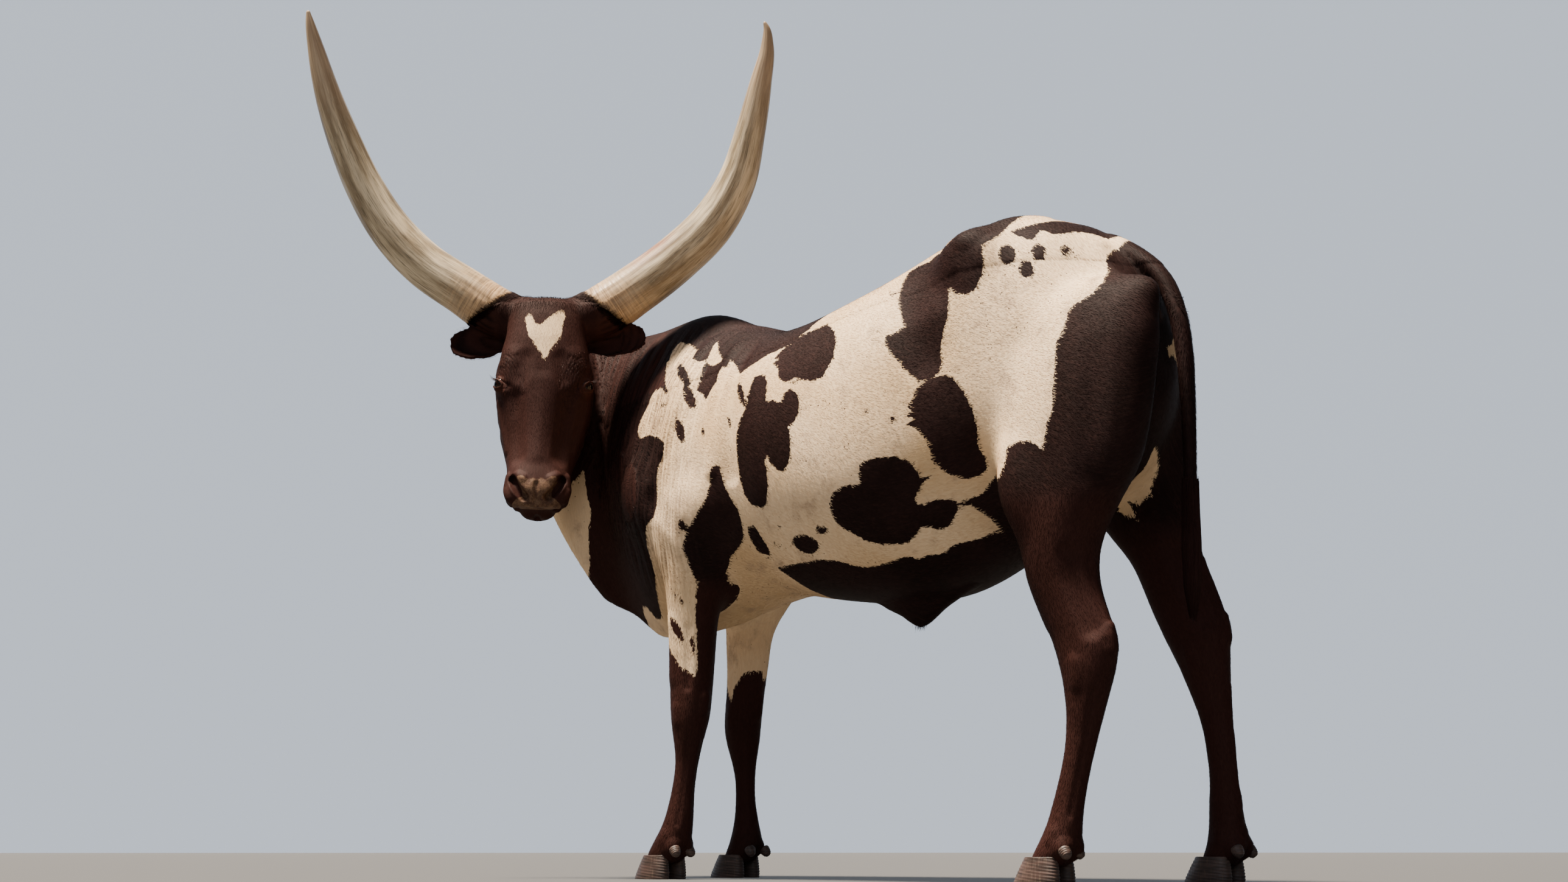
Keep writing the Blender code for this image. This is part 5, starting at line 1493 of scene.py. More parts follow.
def coat_tufts(points, corners, columns, chosen, lie, share, material):
    """Tufts all over the hide, laid on its faces along the lie of the hair, in pieces."""
    chance = np.random.default_rng(41)
    area, way = face_ways(points, corners, lie)
    mean = {name: values[corners].mean(axis=1) for name, values in share.items()}
    height = points[:, 2][corners].mean(axis=1)
    bare = columns["bare"][corners].max(axis=1)
    hollow = columns["hollow"][corners].max(axis=1)
    kind = np.full(len(corners), "body", dtype="<U5")
    on_leg = sum(mean[name] for name in LEGS) > 0.5
    kind[on_leg] = "leg"
    kind[on_leg & (height < 0.12)] = "foot"
    kind[mean["tail"] > 0.5] = "tail"
    kind[mean["head"] > 0.5] = "head"
    kind[mean["ear"] > 0.5] = "ear"
    sizes = np.array([TUFTS[name] for name in kind])
    _, down, out = in_head(points).T
    down = down[corners].mean(axis=1)
    out = out[corners].mean(axis=1)
    muzzle = (kind == "head") * between(down, 0.38, 0.50)
    crown = (kind == "head") * (1.0 - between(down, 0.015, 0.060)) * between(out, -0.20, -0.15)
    sizes[:, 1] *= (1.0 - 0.45 * muzzle) * (1.0 + 1.3 * crown)
    sizes[:, 3] *= (1.0 - 0.40 * muzzle) * (1.0 + 2.2 * crown)
    eyes = np.zeros(len(corners))
    middle = points[corners].mean(axis=1)
    for side in (1.0, -1.0):
        ball, look, _, _ = eye_frame(side)
        far = np.linalg.norm(middle - ball - look * 0.010, axis=1)
        eyes = np.maximum(eyes, 1.0 - between(far, 0.018, 0.030))
    density = sizes[:, 0] * (1.0 - between(bare, 0.2, 0.6))
    density = density * (1.0 - between(hollow, 0.1, 0.4)) * (1.0 - eyes)
    face, weight = scattered(area, density, chance)
    corner = corners[face]
    root = (points[corner] * weight[..., None]).sum(axis=1)
    normals = point_normals(points, corners)
    up = (normals[corner] * weight[..., None]).sum(axis=1)
    up /= np.linalg.norm(up, axis=1)[:, None]
    size = sizes[face]
    run = way[face] - up * (way[face] * up).sum(axis=1)[:, None]
    run /= np.linalg.norm(run, axis=1)[:, None]
    tuft = kites(root, up, run, size[:, 1], size[:, 2], size[:, 3], chance)
    depth = (columns["dark"][corner] * weight).sum(axis=1)
    depth = np.where(depth + chance.normal(0.0, EDGE_STRAY, len(depth)) > 0.0, SURE, -SURE)
    warm = (columns["warm"][corner] * weight).sum(axis=1)
    shade = chance.uniform(0.0, 1.0, len(face))
    chart, folded = crease_chart(points)
    at = (chart[corner] * weight[..., None]).sum(axis=1)
    # The depth of each tuft's root in a wrinkle's groove is painted as shade by the finish; the slope of the
    # groove tilts the way the tuft is shaded.
    groove, slope = wrinkles(at, (folded[corner] * weight).sum(axis=1))
    tilt = np.clip(slope * WRINKLE_DEPTH, -0.9, 0.9)[:, None]
    lean = growth(points, corners, chart[:, 0])[face] * tilt
    facing = up + lean + chance.normal(0.0, 0.03, up.shape)
    facing /= np.linalg.norm(facing, axis=1)[:, None]
    facing = np.repeat(facing[:, None], 4, axis=1)
    place = unwrapped(chosen[face], (lie[face] * weight[..., None]).sum(axis=1))
    patch = HALF_PATCH * np.array([(0.0, -1.0), (1.0, 0.0), (0.0, 1.0), (-1.0, 0.0)])
    order = chance.permutation(len(face))
    pieces = []
    for number, start in enumerate(range(0, len(order), TUFTS_IN_A_PIECE)):
        own = order[start:start + TUFTS_IN_A_PIECE]
        base = (np.arange(len(own)) * 4)[:, None]
        triangles = np.concatenate([base + np.array((0, 3, 1)), base + np.array((1, 3, 2))])
        spots = (place[own][:, None] + patch).reshape(-1, 2)
        flat = {"dark": np.repeat(depth[own], 4), "warm": np.repeat(warm[own], 4),
                "shade": np.repeat(shade[own], 4), "groove": np.repeat(groove[own], 4)}
        maps = {"OFBake": spots[triangles].reshape(-1, 2)}
        pieces.append(mesh_from("short_hair_" + str(number + 1), tuft[own].reshape(-1, 3),
                                triangles, flat, maps, material, facing[own].reshape(-1, 3)))
    return pieces


def long_hair(name, paths, radius, dark, warm, chart, places, material):
    """A piece of long hairs, each with its patch on the unwrap of the skin."""
    points, triangles = strand_tubes(paths, radius)
    steps = paths.shape[1]
    chance = np.random.default_rng(len(name))
    rows = np.repeat(np.linspace(-1.0, 1.0, steps), 2)
    spread = HALF_PATCH * np.column_stack([np.tile((-1.0, 1.0), steps), rows])
    spots = (unwrapped(np.full(len(paths), chart), places)[:, None] + spread).reshape(-1, 2)
    each = 2 * steps
    columns = {"dark": np.full(len(points), dark), "warm": np.full(len(points), warm),
               "groove": np.zeros(len(points)),
               "shade": np.repeat(chance.uniform(0.0, 1.0, len(paths)), each)}
    maps = {"OFBake": spots[triangles].reshape(-1, 2)}
    return mesh_from(name, points, triangles, columns, maps, material)


def tail_switch_paths(count, chance):
    """Hairs of the switch: each starts on the tail's surface and runs down it inside the
    outline, drawn in towards the tip."""
    table = np.array(TAIL_RUN)[::-1]
    start = chance.uniform(0.60, 0.83, count)
    length = chance.uniform(0.09, 0.19, count)
    end = np.maximum(start - length, 0.530 + chance.uniform(0.0, 0.030, count))
    turn = chance.uniform(0.0, 2.0 * math.pi, count)
    steps = np.linspace(0.0, 1.0, 7)
    z = start[:, None] + (end - start)[:, None] * steps
    x, y, across, along = (np.interp(z, table[:, 2], table[:, column]) for column in (0, 1, 3, 4))
    depth = chance.uniform(0.72, 1.0, count)[:, None]
    turn = turn[:, None] + chance.normal(0.0, 0.35, count)[:, None] * steps
    return np.stack([x + across * depth * np.cos(turn), y + along * depth * np.sin(turn), z], axis=-1)


def lash_paths(chance):
    """Lashes along the upper lid of both eyes: they start on its edge, run out and curl up."""
    hairs = []
    for side in (1.0, -1.0):
        middle, look, front, over = eye_frame(side)
        for share in np.linspace(-0.86, 0.80, 46):
            across = share * LID_LENGTH + chance.normal(0.0, 0.02)
            above = LID_HEIGHT * math.sqrt(max(0.0, 1.0 - share * share)) * 0.98 + 0.05
            turned = math.hypot(across, above)
            unit = look * math.cos(turned) + (front * across + over * above) * (math.sin(turned) / turned)
            start = middle + unit * (EYE_RADIUS + LID_DEPTH * 1.3)
            length = chance.uniform(0.011, 0.017)
            aim = unit * 0.85 + look * 0.25 + front * (0.35 * share) - over * 0.25
            aim /= np.linalg.norm(aim)
            t = np.linspace(0.0, 1.0, 6)[:, None]
            hairs.append(start + aim * length * t + over * length * 0.38 * t ** 2)
    return np.array(hairs)


def ear_fringe_paths(count, chance):
    """Soft hairs from the rim and the hollow of each ear, lying out towards its tip."""
    hairs = []
    for root_tip, side in ((EAR_LEFT, 1.0), (EAR_RIGHT, -1.0)):
        rings = ear_rings(root_tip, side)
        along = on_head(root_tip[1]) - on_head(root_tip[0])
        along /= np.linalg.norm(along)
        for _ in range(count):
            ring = int(chance.uniform(3, 40))
            spot = int(chance.choice((0, 0, 20, 20, chance.integers(2, 18))))
            start = rings[ring, (spot + chance.integers(-1, 2)) % rings.shape[1]]
            rim = rings[ring, 0] - rings[ring, 20]
            rim /= np.linalg.norm(rim)
            outward = rim * (1.0 if spot == 0 else -1.0 if spot == 20 else 0.0) * chance.uniform(0.0, 0.45)
            aim = along * chance.uniform(0.7, 1.0) + outward + HEAD_AXES[2] * chance.uniform(-0.1, 0.15)
            aim /= np.linalg.norm(aim)
            length = chance.uniform(0.003, 0.008) * (1.0 - 0.45 * ring / 48)
            t = np.linspace(0.0, 1.0, 5)[:, None]
            hairs.append(start + aim * length * t - HEAD_AXES[2] * length * 0.15 * t ** 2)
    return np.array(hairs)


def crown_paths(count, chance):
    """Hairs that lie over the root of each horn: they start on the hairy collar a little
    short of its edge and run out along the horn, close to it."""
    hairs = []
    for run, side in ((HORN_LEFT, 1.0), (HORN_RIGHT, -1.0)):
        rows = smooth_rows(horn_rows(run, side), COLLAR_STEP)[:52]
        _, across, other = run_frames(rows[:, :3])
        across, other = across[20], other[20]
        distance = COLLAR_STEP * np.arange(len(rows))
        turn = chance.uniform(0.0, 2.0 * math.pi, count)
        way = across * np.cos(turn)[:, None] + other * np.sin(turn)[:, None]
        edge = COLLAR_LENGTH - COLLAR_SLANT * way[:, 2]
        start = edge - chance.uniform(0.004, 0.024, count)
        length = chance.uniform(0.010, 0.020, count)
        t = np.linspace(0.0, 1.0, 5)
        at = start[:, None] + length[:, None] * t
        middle = np.stack([np.interp(at, distance, rows[:, k]) for k in range(3)], axis=-1)
        radius = np.interp(at, distance, rows[:, 3])
        swell = COLLAR_SWELL * np.sqrt(np.clip(1.0 - at / edge[:, None], 0.0, 1.0))
        out = np.maximum(swell - 0.0030, 0.0) - 0.0016 + chance.uniform(0.0, 0.0010, count)[:, None]
        out += 0.0016 * np.sin(math.pi * np.minimum(1.0, 1.2 * t))
        drift = turn[:, None] + chance.normal(0.0, 0.05, count)[:, None] * t
        way = across * np.cos(drift)[..., None] + other * np.sin(drift)[..., None]
        hairs.append(middle + way * (radius + out)[..., None])
    return np.concatenate(hairs)


def sheath_paths(count, chance):
    """Hairs at the tip of the sheath, hanging down and a little forward."""
    x = chance.normal(0.0, 0.006, count)
    y = 0.165 + chance.normal(0.0, 0.007, count)
    z = 0.585 - chance.uniform(0.0, 0.012, count)
    start = np.column_stack([x, y, z])
    length = chance.uniform(0.010, 0.020, count)[:, None, None]
    t = np.linspace(0.0, 1.0, 5)[None, :, None]
    aside, ahead = chance.normal(0.0, 0.12, count), chance.normal(-0.10, 0.15, count)
    aim = np.column_stack([aside, ahead, -np.ones(count)])
    return start[:, None] + aim[:, None] * length * t


HORN_AROUND = 72                      # points round each ring of a horn


def grown_horn(run, side):
    """A horn in fine rings: growth ridges crowd its root and fade towards the tip, and
    shallow flutes run its length. Returns points, quads, the distance from the root and
    the way round it at each point."""
    step = 0.0030
    rows = smooth_rows(horn_rows(run, side), step)
    _, across, other = run_frames(rows[:, :3])
    around = HORN_AROUND
    turn = np.linspace(0.0, 2.0 * math.pi, around, endpoint=False)[None, :]
    distance = (np.arange(len(rows)) * step)[:, None]
    radius = np.broadcast_to(rows[:, 3:4], (len(rows), around)).copy()
    bend = 0.35 * np.sin(3.1 * turn + side) + 0.5 * np.sin(40.0 * distance)
    ridge = np.sin(2.0 * math.pi * (distance / 0.017 + bend))
    ridge = 0.00025 * np.exp(-((distance - 0.10) / 0.08) ** 2) * ridge
    wander = 2.0 * np.sin(2.0 * turn) + 1.3 * np.sin(5.0 * turn + 30.0 * distance)
    ridge += 0.00022 * np.exp(-distance / 0.25) * np.sin(2.0 * math.pi * distance / 0.0085 + wander)
    flute = 0.0006 * np.sin(11.0 * turn + 6.0 * distance) + 0.0005 * np.sin(23.0 * turn - 4.0 * distance)
    flute = flute * np.clip(rows[:, 3:4] / 0.05, 0.15, 1.0)
    radius = radius * 0.985 - 0.0008 + ridge + flute
    high = across[:, None, 2] * np.cos(turn) + other[:, None, 2] * np.sin(turn)
    radius -= 0.0065 * between(COLLAR_LENGTH - COLLAR_SLANT * high - distance, 0.005, 0.011)
    radius[-1] = 0.0012
    points = rows[:, None, :3] + across[:, None] * (radius * np.cos(turn))[..., None]
    points = points + other[:, None] * (radius * np.sin(turn))[..., None]
    distance, turn = (np.broadcast_to(value, radius.shape).ravel() for value in (distance, turn))
    return points.reshape(-1, 3), tube_faces(len(rows), around), distance, turn


def claw_rings(sole, side):
    """Half of a hoof in fine level rings: the same D-shaped, pointed slices as the solid,
    with low growth ridges and a swelling at the hair line."""
    rise = np.linspace(0.0, 1.0, 34)[:, None]
    turn = np.linspace(0.0, 2.0 * math.pi, 64, endpoint=False)[None, :]
    rows = np.array((0.0, 0.25, 0.65, 1.0))
    shrink = np.interp(rise, rows, 1.0 - 0.24 * rows ** 1.4)
    back = 0.5 * CLAW_HEIGHT * rise
    half_length = 0.5 * (CLAW_LENGTH * shrink - 0.35 * back)
    along = -np.cos(turn)
    point = np.where(along < 0.0, 1.0 - 0.45 * np.abs(along) ** 2.2, 1.0)
    across = np.sign(np.sin(turn)) * np.abs(np.sin(turn)) ** 0.75 * point
    across = across * np.where(across * side > 0.0, 1.0, 0.72) * CLAW_WIDTH * 0.56 * shrink
    height = CLAW_HEIGHT * rise
    ridge = 0.0004 * np.sin(2.0 * math.pi * (height + 0.10 * along * CLAW_LENGTH * 0.5) / 0.0065)
    scale = 0.985 + ridge / 0.03 - 0.020 * (1.0 - rise) ** 12
    x, y = across * scale, along * half_length * scale + 0.5 * back
    turned = -side * CLAW_SPLAY
    place_x = sole[0] + side * (CLAW_WIDTH * 0.40 + 0.004) + x * math.cos(turned) - y * math.sin(turned)
    place_y = sole[1] + x * math.sin(turned) + y * math.cos(turned)
    return np.stack([place_x, place_y, np.broadcast_to(height, x.shape)], axis=-1)


KNOB_RADIUS = 0.86                    # share of the solid's radius that a dewclaw shows
KNOB_LENGTH = 0.90                    # and of its length, the rest being under the hide
KNOB_FORWARD = 0.003                  # how much nearer to the leg than the solid it stands


def knob_rings(place, side):
    """A dewclaw: a blunt ringed cone that points down and back, rounded at both ends."""
    along = np.linspace(-1.0, 1.0, 26)[:, None]
    turn = np.linspace(0.0, 2.0 * math.pi, 28, endpoint=False)[None, :]
    mean, growth = 0.5 * (1.0 + DEWCLAW_TAPER), 0.5 * (1.0 - DEWCLAW_TAPER)
    radius = DEWCLAW_RADIUS * (mean + growth * along) * (1.0 - np.abs(along) ** 4 * 0.50) * KNOB_RADIUS
    radius = radius + 0.0004 * np.sin(along * 19.0)
    local = np.stack(np.broadcast_arrays(radius * np.cos(turn), radius * np.sin(turn),
                                         along * 0.5 * DEWCLAW_LENGTH * KNOB_LENGTH), axis=-1)
    tilt, lean = DEWCLAW_TILT, -DEWCLAW_TURN * side
    sine, cosine = math.sin(tilt), math.cos(tilt)
    about_x = np.array(((1, 0, 0), (0, cosine, -sine), (0, sine, cosine)))
    sine, cosine = math.sin(lean), math.cos(lean)
    about_y = np.array(((cosine, 0, sine), (0, 1, 0), (-sine, 0, cosine)))
    return np.array(place) - np.array((0.0, KNOB_FORWARD, 0.0)) + local @ (about_x @ about_y).T


def rings_piece(name, ring_sets, material):
    """One piece from several closed tubes of rings, smoothly shaded."""
    points, faces, start = [], [], 0
    for rings in ring_sets:
        faces += tube_faces(rings.shape[0], rings.shape[1], start)
        points.append(rings.reshape(-1, 3))
        start += rings.shape[0] * rings.shape[1]
    made = mesh_object(name, np.concatenate(points) - MIDDLE, faces)
    shade_smooth(made.data)
    made.data.materials.append(material)
    return made


def eye_piece(name, side, material):
    """An eyeball: rings round the way it looks, with how far each point is from the middle
    of the iris, counted wider along the lids so that the pupil is a level oval."""
    middle, look, front, over = eye_frame(side)
    fall = np.linspace(0.004, math.pi - 0.004, 60)[:, None]
    turn = np.linspace(0.0, 2.0 * math.pi, 72, endpoint=False)[None, :]
    radius = EYE_RADIUS * 0.985 * (1.0 + 0.012 * np.exp(-(fall / 0.5) ** 4))
    away = np.sin(fall) * radius
    points = (middle + look * (np.cos(fall) * radius * np.ones_like(turn))[..., None]
              + front * (away * np.cos(turn))[..., None] + over * (away * np.sin(turn))[..., None])
    made = mesh_object(name, points.reshape(-1, 3) - MIDDLE, tube_faces(60, 72))
    shade_smooth(made.data)
    iris = np.broadcast_to(fall, (60, 72)).ravel()
    pupil = np.hypot(np.sin(fall) * np.cos(turn) / 1.7, np.sin(fall) * np.sin(turn)) + (fall > 1.5) * 1.0
    give_numbers(made.data, {"from_iris": iris, "from_pupil": pupil.ravel()})
    made.data.materials.append(material)
    return made


def colour(code):
    """A colour written as six hex digits, as the renderer wants it: each channel from the
    display curve to an amount of light, by the standard power of 2.4."""
    channels = [int(code[at:at + 2], 16) / 255.0 for at in (0, 2, 4)]
    light = [c / 12.92 if c <= 0.04045 else ((c + 0.055) / 1.055) ** 2.4 for c in channels]
    return (*light, 1.0)


def size_of(millimetres):
    """The scale of a pattern whose features are that many millimetres apart."""
    return 1000.0 / millimetres


# The nodes that the finishes are made of: the renderer's name, the inputs in the order in
# which they are given, the output that is read, and the settings that stay the same.
NODES = {
    "place": ("ShaderNodeTexCoord", (), 3, {}),
    "map": ("ShaderNodeUVMap", (), 0, {}),
    "carried": ("ShaderNodeAttribute", (), 2, {}),
    "noise": ("ShaderNodeTexNoise", ("Vector", "Scale", "Detail", "Roughness", "Distortion"), 0, {}),
    "cells": ("ShaderNodeTexVoronoi", ("Vector", "Scale"), 0, {"feature": "F1"}),
    "channel": ("ShaderNodeSeparateColor", (0,), 0, {}),
    "stretch": ("ShaderNodeVectorMath", (0, 1), 0, {"operation": "MULTIPLY"}),
    "plus": ("ShaderNodeMath", (0, 1), 0, {"operation": "ADD"}),
    "minus": ("ShaderNodeMath", (0, 1), 0, {"operation": "SUBTRACT"}),
    "times": ("ShaderNodeMath", (0, 1), 0, {"operation": "MULTIPLY"}),
    "times_plus": ("ShaderNodeMath", (0, 1, 2), 0, {"operation": "MULTIPLY_ADD"}),
    "least": ("ShaderNodeMath", (0, 1), 0, {"operation": "MINIMUM"}),
    "ease": ("ShaderNodeMapRange", (0, 1, 2, 3, 4), 0, {"interpolation_type": "SMOOTHSTEP"}),
    "mix": ("ShaderNodeMix", (0, 6, 7), 2, {"data_type": "RGBA"}),
    "bump": ("ShaderNodeBump", ("Strength", "Distance", "Height"), 0, {}),
}


def add_node(finish, kind, inputs, **settings):
    """Add a node of a kind to a material with its settings. An input is given a number or a
    colour, or is linked to the output of another node. Returns the output that is read."""
    name, slots, output, always = NODES[kind]
    node = finish.node_tree.nodes.new(name)
    for key, value in {**always, **settings}.items():
        setattr(node, key, value)
    set_inputs(node, dict(zip(slots, inputs)))
    return node.outputs[output]


def set_inputs(node, inputs):
    """Set or link the named inputs of a node."""
    for key, value in inputs.items():
        if isinstance(value, bpy.types.NodeSocket):
            node.id_data.links.new(value, node.inputs[key])
        else:
            node.inputs[key].default_value = value


def new_finish(name):
    """A material, its shader, and the way nodes are added to it: kind, inputs, settings."""
    finish = bpy.data.materials.new(name)
    finish.use_nodes = True

    def add(kind, *inputs, **settings):
        return add_node(finish, kind, inputs, **settings)

    return finish, finish.node_tree.nodes["Principled BSDF"], add


def coat_material():
    """Short flat cattle hair over skin, dark brown and cream, one finish for the hide and for
    the tufts on it. The eye gets a soft coat with hardly any shine, streaked along the lie of
    the hair, with ragged edges to its patches and a smoother, pored muzzle."""
    finish, shader, add = new_finish("short_cattle_hair")
    place = add("place")
    lie = add("map", uv_map="lie")
    dark = add("carried", attribute_name="dark")
    warm = add("carried", attribute_name="warm")
    bare = add("carried", attribute_name="bare")
    hollow = add("carried", attribute_name="hollow")
    groove = add("carried", attribute_name="groove")
    shade = add("carried", attribute_name="shade")

    # Single hairs, seen as streaks that run with the lie of the coat. They are drawn 1.3 mm
    # apart, far coarser than real hairs, so that they show.
    hair = add("noise", add("stretch", lie, (size_of(1.3), size_of(14.0), 1.0)), 1.0, 2.0, 0.6)
    locks = add("noise", add("stretch", lie, (size_of(5.0), size_of(26.0), 1.0)), 1.0, 2.0, 0.55)

    # The edges of the patches: hairs of one colour lie over the other, so they are ragged.
    ragged = add("times_plus", hair, 0.0060, -0.0030)
    wavy = add("times_plus", add("noise", place, size_of(9.0), 2.0, 0.6), 0.011, -0.0055)
    patch = add("ease", add("plus", add("plus", dark, ragged), wavy), -0.0008, 0.0008)

    # Dark specks and greyish clouds on the cream, thicker here and there.
    cells = add("cells", place, size_of(9.5))
    pick = add("channel", cells.node.outputs["Color"])
    crowd = add("ease", add("noise", place, size_of(210.0), 1.0), 0.40, 0.66, 0.0, 0.38)
    reach = add("times", add("minus", add("plus", pick, crowd), 0.68), 0.33)
    speck = add("ease", add("minus", reach, cells), 0.0, 0.035)
    cloud = add("ease", add("noise", place, size_of(62.0), 3.0, 0.62), 0.50, 0.78)
    fine = add("ease", add("noise", place, size_of(4.5), 2.0, 0.7), 0.56, 0.74)
    broad = add("ease", add("noise", place, size_of(320.0), 2.0), 0.35, 0.68)
    cream = add("mix", broad, colour("eed5b3"), colour("d6b88f"))
    cream = add("mix", add("times", cloud, 0.55), cream, colour("a58c77"))
    cream = add("mix", add("times", add("times", fine, cloud), 0.75), cream, colour("6f5d4f"))
    cream = add("mix", add("ease", locks, 0.35, 0.72, 0.0, 0.16), cream, colour("b8a186"))
    cream = add("mix", add("times", speck, 0.88), cream, colour("3f2c27"))

    # Chocolate brown, warmer on neck, legs and ears and warmest by the lids.
    depth = add("ease", add("noise", place, size_of(150.0), 3.0), 0.30, 0.72)
    brown = add("mix", depth, colour("1b0e0c"), colour("271716"))
    brown = add("mix", add("ease", locks, 0.40, 0.75, 0.0, 0.40), brown, colour("39231f"))
    brown = add("mix", add("times", add("least", warm, 1.0), 0.50), brown, colour("44251e"))
    brown = add("mix", add("ease", warm, 1.1, 1.9, 0.0, 0.50), brown, colour("4c2d23"))
    coat = add("mix", patch, cream, brown)
    strand = add("ease", shade, 0.0, 1.0, 0.0, 0.24)
    coat = add("mix", strand, coat, colour("20100e"), blend_type="SOFT_LIGHT")

    # Wrinkles: painted shade, darkest where the hide is drawn in between its folds.
    coat = add("mix", add("times", groove, 0.90), coat, colour("5c4238"), blend_type="MULTIPLY")

    # The bare muzzle: tan and gold between dark pores; and the shade of hollows.
    pores = add("cells", place, size_of(1.5))
    gold = add("ease", add("noise", place, size_of(16.0), 4.0, 0.75), 0.36, 0.66)
    skin = add("mix", gold, colour("4a352b"), colour("755c48"))
    skin = add("mix", add("ease", pores, 0.36, 0.70, 0.0, 0.50), skin, colour("3d281f"))
    coat = add("mix", add("ease", bare, 0.30, 0.70), coat, skin)
    coat = add("mix", add("ease", hollow, 0.25, 0.85), coat, colour("1c1213"))

    # Hair scatters the light, so it stays rough; the damp muzzle is a little smoother.
    damp = add("ease", bare, 0.3, 0.7)
    rough = add("times_plus", damp, -0.16, add("ease", patch, 0.0, 1.0, 0.74, 0.66))
    hairy = add("plus", hair, add("times", locks, 1.4))
    pored = add("times_plus", add("times", pores, damp), -1.6, hairy)
    set_inputs(shader, {"Base Color": coat, "Roughness": rough, "Specular IOR Level": 0.08,
                        "Normal": add("bump", 0.45, 0.0007, pored)})
    return finish


def horn_material():
    """Weathered horn, layered keratin grown in rings: cream and grey-olive with dark fibres
    along it, ringed and yellow-brown at the root, stained, and darker near the tip. The eye
    gets a dull, silky shine that is broken by the fibres."""
    finish, shader, add = new_finish("weathered_horn")
    grain = add("map", uv_map="grain")
    root = add("carried", attribute_name="from_root")
    spot = add("carried", attribute_name="stain")
    fibre = add("stretch", grain, (size_of(3.2), size_of(75.0), 1.0))
    fibre = add("noise", fibre, 1.0, 4.0, 0.65, 0.3)
    fine = add("noise", add("stretch", grain, (size_of(1.1), size_of(26.0), 1.0)), 1.0, 3.0, 0.6)
    broad = add("stretch", grain, (size_of(26.0), size_of(210.0), 1.0))
    broad = add("ease", add("noise", broad, 1.0, 3.0, 0.55), 0.34, 0.66)
    rings = add("stretch", grain, (size_of(90.0), size_of(7.0), 1.0))
    rings = add("noise", rings, 1.0, 3.0, 0.6, 1.5)
    base = add("mix", broad, colour("cfbd9e"), colour("857358"))
    base = add("mix", add("ease", fibre, 0.46, 0.72, 0.0, 0.85), base, colour("544b3b"))
    base = add("mix", add("ease", fine, 0.52, 0.80, 0.0, 0.42), base, colour("ebdfc6"))

    # The root: rings of growth with cracks between them.
    low = add("ease", add("times_plus", rings, 0.08, root), 0.13, 0.30, 1.0, 0.0)
    ringed = add("mix", add("ease", rings, 0.36, 0.66), colour("c09c72"), colour("765535"))
    base = add("mix", add("times", low, 0.88), base, ringed)
    cracks = add("ease", rings, 0.62, 0.72, 0.0, 0.75)
    base = add("mix", add("times", cracks, low), base, colour("4b3826"))

    # A red-brown stain that follows the fibres, and the tip.
    stain = add("times", spot, add("ease", fibre, 0.34, 0.58))
    base = add("mix", add("times", stain, 0.85), base, colour("84412a"))
    tip = add("times", add("ease", root, 0.66, 0.92), 0.60)
    base = add("mix", tip, base, colour("a0846a"))

    rough = add("ease", fibre, 0.30, 0.80, 0.28, 0.55)
    ridges = add("times", add("times", rings, low), 1.2)
    height = add("plus", add("times", fibre, 0.8), ridges)
    set_inputs(shader, {"Base Color": base, "Roughness": rough, "Specular IOR Level": 0.45,
                        "Normal": add("bump", 0.5, 0.0010, height)})
    return finish


def hoof_material():
    """Hoof horn, worn keratin: grey-brown, ringed and scuffed, so that the eye gets a dull,
    dusty surface."""
    finish, shader, add = new_finish("hoof_horn")
    place = add("place")
    rings = add("stretch", place, (size_of(60.0), size_of(60.0), size_of(4.5)))
    rings = add("noise", rings, 1.0, 3.0, 0.6, 0.4)
    streak = add("stretch", place, (size_of(4.0), size_of(4.0), size_of(45.0)))
    streak = add("noise", streak, 1.0, 3.0, 0.6)
    base = add("mix", add("ease", rings, 0.34, 0.68), colour("2b1f1a"), colour("493630"))
    base = add("mix", add("ease", streak, 0.50, 0.75, 0.0, 0.45), base, colour("63503f"))
    height = add("plus", rings, add("times", streak, 0.5))
    rough = add("ease", streak, 0.3, 0.7, 0.45, 0.68)
    set_inputs(shader, {"Base Color": base, "Roughness": rough,
                        "Normal": add("bump", 0.5, 0.0011, height)})
    return finish


def eye_material():
    """A wet eyeball: level oval pupil, very dark brown iris, dusky at the rim. The eye that
    looks at it gets one sharp, small highlight from the film of tears."""
    finish, shader, add = new_finish("wet_eye")
    place = add("place")
    iris = add("carried", attribute_name="from_iris")
    pupil = add("carried", attribute_name="from_pupil")
    flecks = add("noise", place, size_of(1.6), 3.0, 0.6)
    base = add("mix", add("ease", flecks, 0.35, 0.65), colour("140a07"), colour("26150d"))
    base = add("mix", add("ease", pupil, 0.20, 0.26, 1.0, 0.0), base, colour("050507"))
    base = add("mix", add("ease", iris, 0.95, 1.10), base, colour("2e2320"))
    set_inputs(shader, {"Base Color": base, "Roughness": 0.06, "IOR": 1.36,
                        "Specular IOR Level": 0.35})
    return finish


def stage_material(name, code, glow, strength):
    """Matt paint of one colour that glows a little, so that no shade on it goes black."""
    finish, shader, _ = new_finish(name)
    set_inputs(shader, {"Base Color": colour(code), "Roughness": 0.9,
                        "Emission Color": colour(glow), "Emission Strength": strength})
    return finish


FLESH = ("head", "neck", "trunk", "sheath", "ear_left", "ear_right",
         "tail_base", "tail_middle", "tail_switch",
         "forearm_left", "forearm_right", "fore_cannon_left", "fore_cannon_right",
         "thigh_left", "thigh_right", "hind_cannon_left", "hind_cannon_right")


def kept(piece, slot, *nodes):
    """The piece stands still with the animal, in place of the nodes; the slot is not used."""
    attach(piece, "root")
    if nodes:
        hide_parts(*nodes)
    return piece


